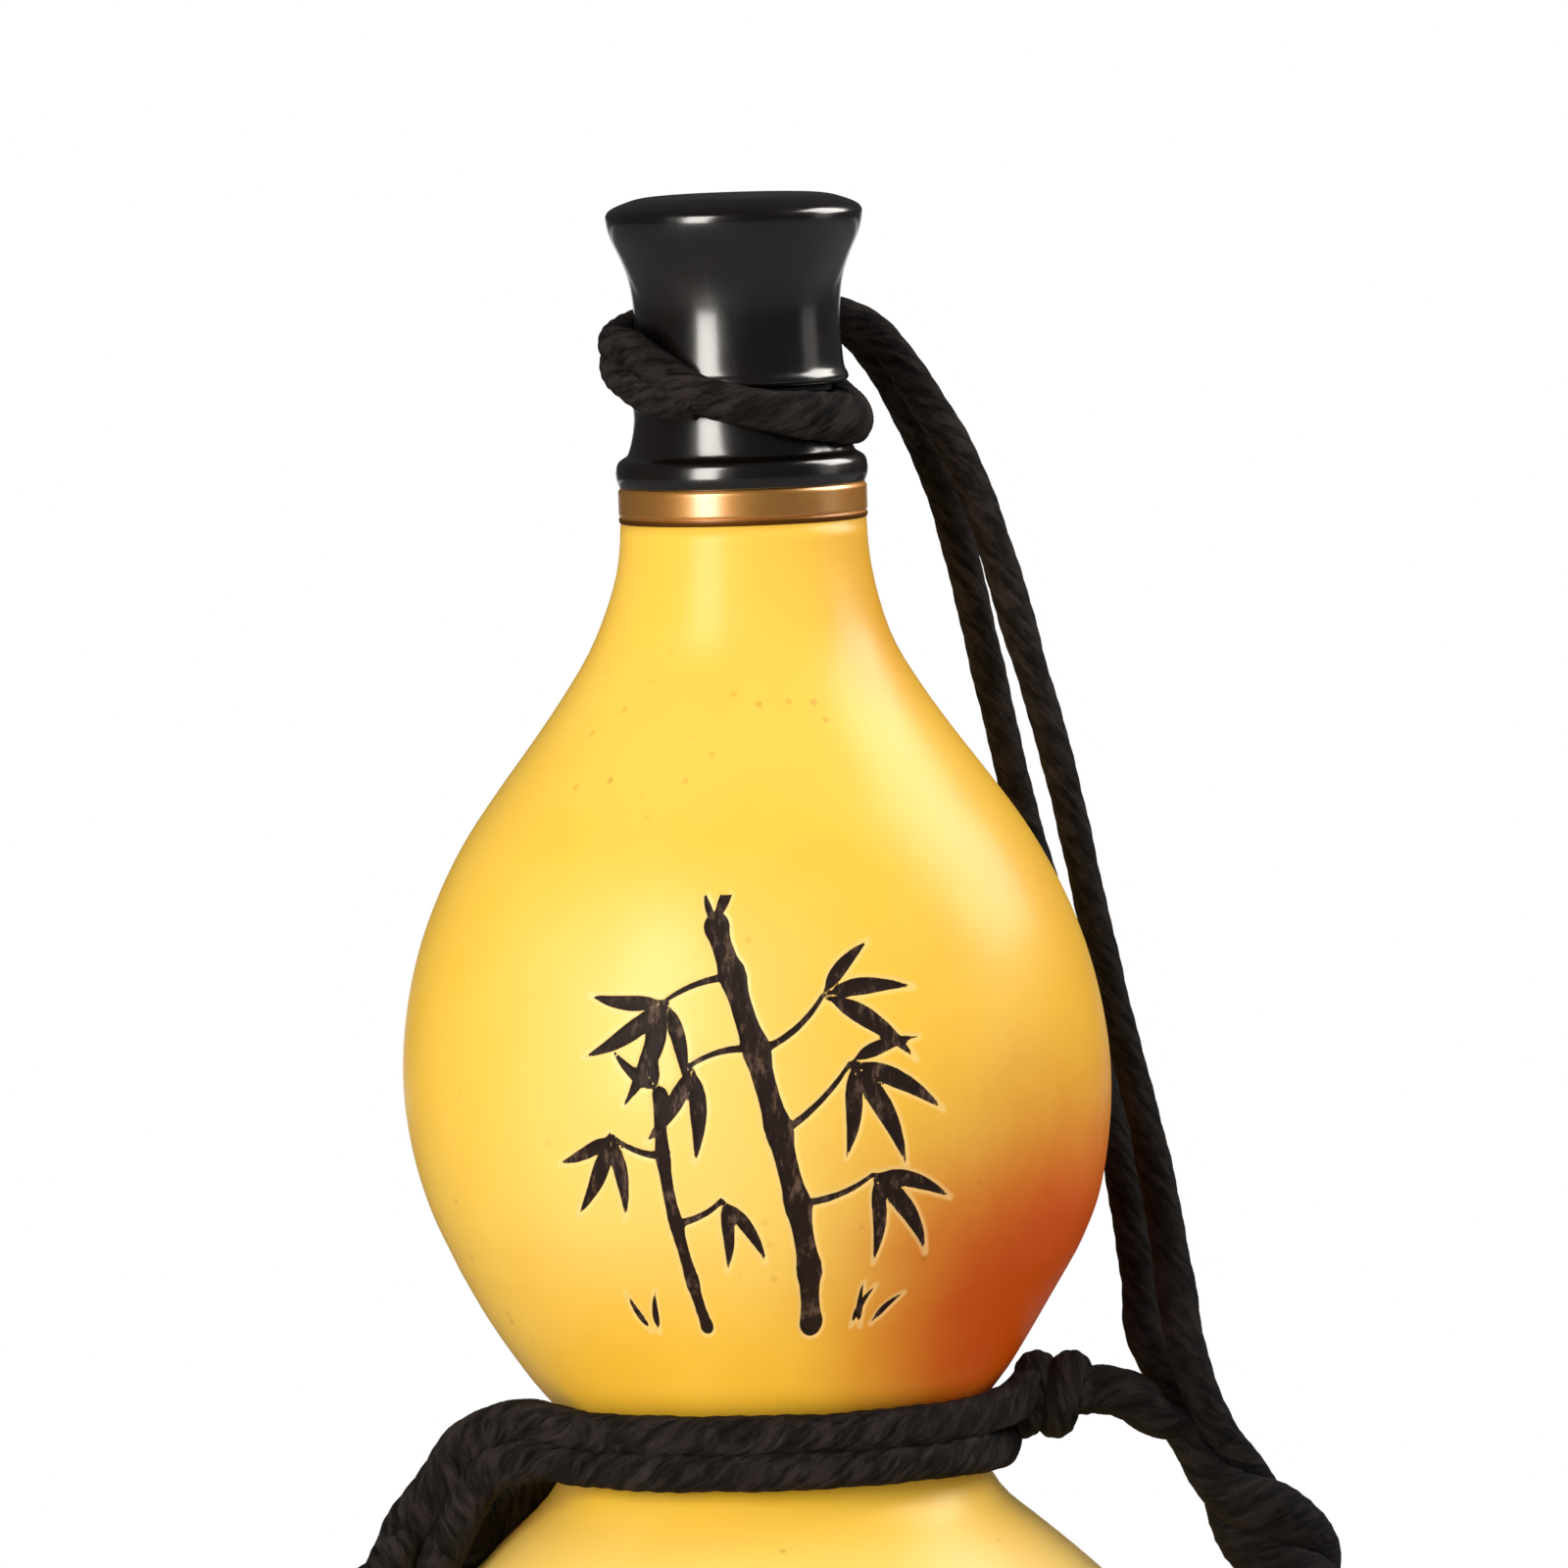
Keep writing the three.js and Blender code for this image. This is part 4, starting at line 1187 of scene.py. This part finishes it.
def collar_piece(finish):
    """Collar with a rounded flange, a drawn-in side, the mouth's thread, and a spigot that
    goes into the neck."""
    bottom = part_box("brass_ring")[1].z + SEAT
    low, high = (corner.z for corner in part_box("mouth_collar"))
    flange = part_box("mouth_collar")[1].x - 0.12 * MM
    spigot = 8.7 * MM
    outside = fine_outline([
        *[(flange - inset * MM, bottom + up * MM) for inset, up in COLLAR_FLANGE],
        *[(radius * MM, bottom + up * MM) for radius, up in COLLAR_WAIST],
        *[(radius * MM, high - down * MM) for radius, down in COLLAR_RIM],
    ])
    neck_end = eased([
        (MOUTH_RADIUS, low + 0.3 * MM),
        (MOUTH_RADIUS + 0.2 * MM, low),
        (spigot - 0.4 * MM, low),
        (spigot, low + 0.4 * MM),
        (spigot, bottom),
        outside[0],
    ], 0.2 * MM)
    mouth = eased([
        outside[-1],
        (MOUTH_RADIUS + 0.5 * MM, high),
        (MOUTH_RADIUS, high - 0.5 * MM),
        (MOUTH_RADIUS, low + 0.6 * MM),
    ], 0.2 * MM)
    body = turned_ring(np.vstack([neck_end[:-1], outside, mouth[1:]]))
    ridge = thread_ridge(MOUTH_RADIUS, -RIDGE_HEIGHT, high - 9.6 * MM, 2.4, 180)
    piece = build("collar", [body, ridge])
    piece.data.materials.append(finish)
    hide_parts("mouth_collar")
    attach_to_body(piece, "bottle")
    return outside


def stopper_pieces(black, seal):
    """The turned head with its flared rim, its screw, and the washer under it."""
    low, high = (corner.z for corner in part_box("stopper_cap"))
    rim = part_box("stopper_cap")[1].x
    grip = 10.5 * MM
    side = fine_outline([
        *[(grip + out * MM, low + up * MM) for out, up in GRIP_SIDE],
        (rim - 0.4 * MM, low + 15.2 * MM),
        *[(rim - inset * MM, high - down * MM) for inset, down in RIM_SIDE],
        (rim * 0.4, high - 0.02 * MM),
        (0, high),
    ], 0.25 * MM)
    socket = 4.3 * MM
    depth = low + 5.6 * MM
    under = eased([(0, depth), (socket, depth), (socket, low), side[0]], 0.15 * MM)
    head = build("stopper_head", [turned(np.vstack([under[:-1], side]))])
    head.data.materials.append(black)
    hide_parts("stopper_cap")

    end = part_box("stopper_plug")[0].z
    shoulder = low - 0.3 * MM
    tenon = 4 * MM
    tenon_top = low + 5.3 * MM
    core = eased([
        (0, end),
        (PLUG_RADIUS - 0.8 * MM, end),
        (PLUG_RADIUS, end + 0.8 * MM),
        (PLUG_RADIUS, shoulder),
        (tenon, shoulder),
        (tenon, tenon_top),
        (0, tenon_top),
    ], 0.2 * MM)
    ridge = thread_ridge(PLUG_RADIUS, RIDGE_HEIGHT, end + 1.4 * MM, 1.7, 0)
    screw = build("stopper_screw", [turned(core, 120), ridge])
    screw.data.materials.append(black)
    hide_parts("stopper_plug")

    low, high = (corner.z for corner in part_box("seal_washer"))
    inner, outer = 6.9 * MM, 9.4 * MM
    profile = [(inner, low), (outer, low), (outer, high), (inner, high)]
    washer = build("seal_ring", [turned_ring(eased(profile, 0.15 * MM, closed=True), 96)])
    washer.data.materials.append(seal)
    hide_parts("seal_washer")
    for piece, name in ((head, "black_gloss"), (screw, "black_gloss"), (washer, "seal")):
        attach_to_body(piece, "stopper")
    return side


def lay_floor():
    """A pale floor. Near the bottle it is lit and takes its shadow, and further off it fades
    into the white of the background, which a gloss sees only behind the bottle. In front of
    the bottle a gloss sees the floor as dark as the room."""
    bpy.ops.mesh.primitive_circle_add(vertices=96, radius=FLOOR_RADIUS, fill_type="NGON")
    floor = bpy.context.object
    floor.name = "floor"
    f = Finish("floor_white")
    place = f.place()
    distance = f.add("ShaderNodeVectorMath", {"operation": "LENGTH"}, {0: place}, "Value")
    camera, mirrored = f.rays()
    colour = f.mix(mirrored, (0.6, 0.6, 0.6, 1.0), (0.1, 0.1, 0.1, 1.0))
    f.set(
        Base_Color=f.mix(camera, colour, (0.86, 0.86, 0.86, 1.0)),
        Roughness=0.9,
        Specular_IOR_Level=0.1,
    )
    white = f.add("ShaderNodeEmission", {}, {"Color": (1, 1, 1, 1), "Strength": 1.0})
    behind = f.axis(place, "Y").ramp(1.0, 1.5)
    far = distance.ramp(0.22, 0.6) * (camera + mirrored * behind)
    shader = Wire(f, f.shader.outputs[0])
    mixed = f.add("ShaderNodeMixShader", {}, {0: far, 1: shader, 2: white})
    f.put(f.tree.nodes["Material Output"].inputs["Surface"], mixed)
    floor.data.materials.append(f.material)


def light_world():
    """White to the camera. A gloss sees white behind the bottle and a dim room on the camera's
    side, and other surfaces get a soft, even light."""
    f = Finish("studio", bpy.data.worlds)
    bpy.context.scene.world = f.material
    direction = f.add("ShaderNodeTexCoord", {}, {}, "Generated")
    ahead = f.axis(direction, "Y").ramp(0.93, 0.997) * f.axis(direction, "Z").ramp(0.0, -0.06)
    camera, mirrored = f.rays()
    gloss = DIM_ROOM + ahead * (1 - DIM_ROOM)
    level = camera + (1 - camera) * (mirrored * gloss + (1 - mirrored) * SOFT_LIGHT)
    background = f.tree.nodes["Background"]
    background.inputs["Color"].default_value = (1, 1, 1, 1)
    f.put(background.inputs["Strength"], level)


def add_lamp(name, azimuth, elevation, distance, size, watts):
    """A rectangular soft box that looks at the upper bulb. Its size is width and height. Azimuth
    0 is the camera's side and positive to its right."""
    data = bpy.data.lights.new(name, "AREA")
    data.shape = "RECTANGLE"
    data.size, data.size_y = size
    data.energy = watts
    data.color = LAMP_COLOUR
    lamp = bpy.data.objects.new(name, data)
    a, e = math.radians(azimuth), math.radians(elevation)
    back = np.array([math.sin(a) * math.cos(e), -math.cos(a) * math.cos(e), math.sin(e)])
    up = np.array([0.0, 0.0, 1.0])
    right = unit(np.cross(up, back))
    matrix = np.eye(4)
    matrix[:3, 0], matrix[:3, 1], matrix[:3, 2] = right, np.cross(back, right), back
    matrix[:3, 3] = np.array(LAMPS_LOOK_AT) + back * distance
    lamp.matrix_world = Matrix(matrix)
    bpy.context.scene.collection.objects.link(lamp)


place_camera()
cotton = cotton_finish()
strap_piece(cotton)
right_fork = fork_ends(*STRAP_ROUTE[:2])
lanyard_piece("lanyard_cord_front", "lanyard_front", LANYARD_FRONT, right_fork["above"], 41, cotton)
lanyard_piece("lanyard_cord_rear", "lanyard_rear", LANYARD_REAR, right_fork["behind"], 42, cotton)
gourd_outline = gourd_piece(rind_finish(), pith_finish())
waist_pieces(gourd_outline, cotton)
waist_knot_piece(cotton)
neck_ring_piece(brass_finish())
black = black_finish()
stopper_outline = np.vstack([collar_piece(black), stopper_pieces(black, seal_finish())])
stopper_cord_pieces(stopper_outline, cotton)
lay_floor()
light_world()
add_lamp("key_left", -34, 18.6, 1.1, (0.45, 0.98), 7.7)
add_lamp("side_right", 108, 36, 1.0, (0.62, 0.66), 6.0)
add_lamp("strip_right", 88, 8, 1.0, (0.36, 0.42), 0.16)

bpy.context.scene.view_settings.view_transform = "Standard"
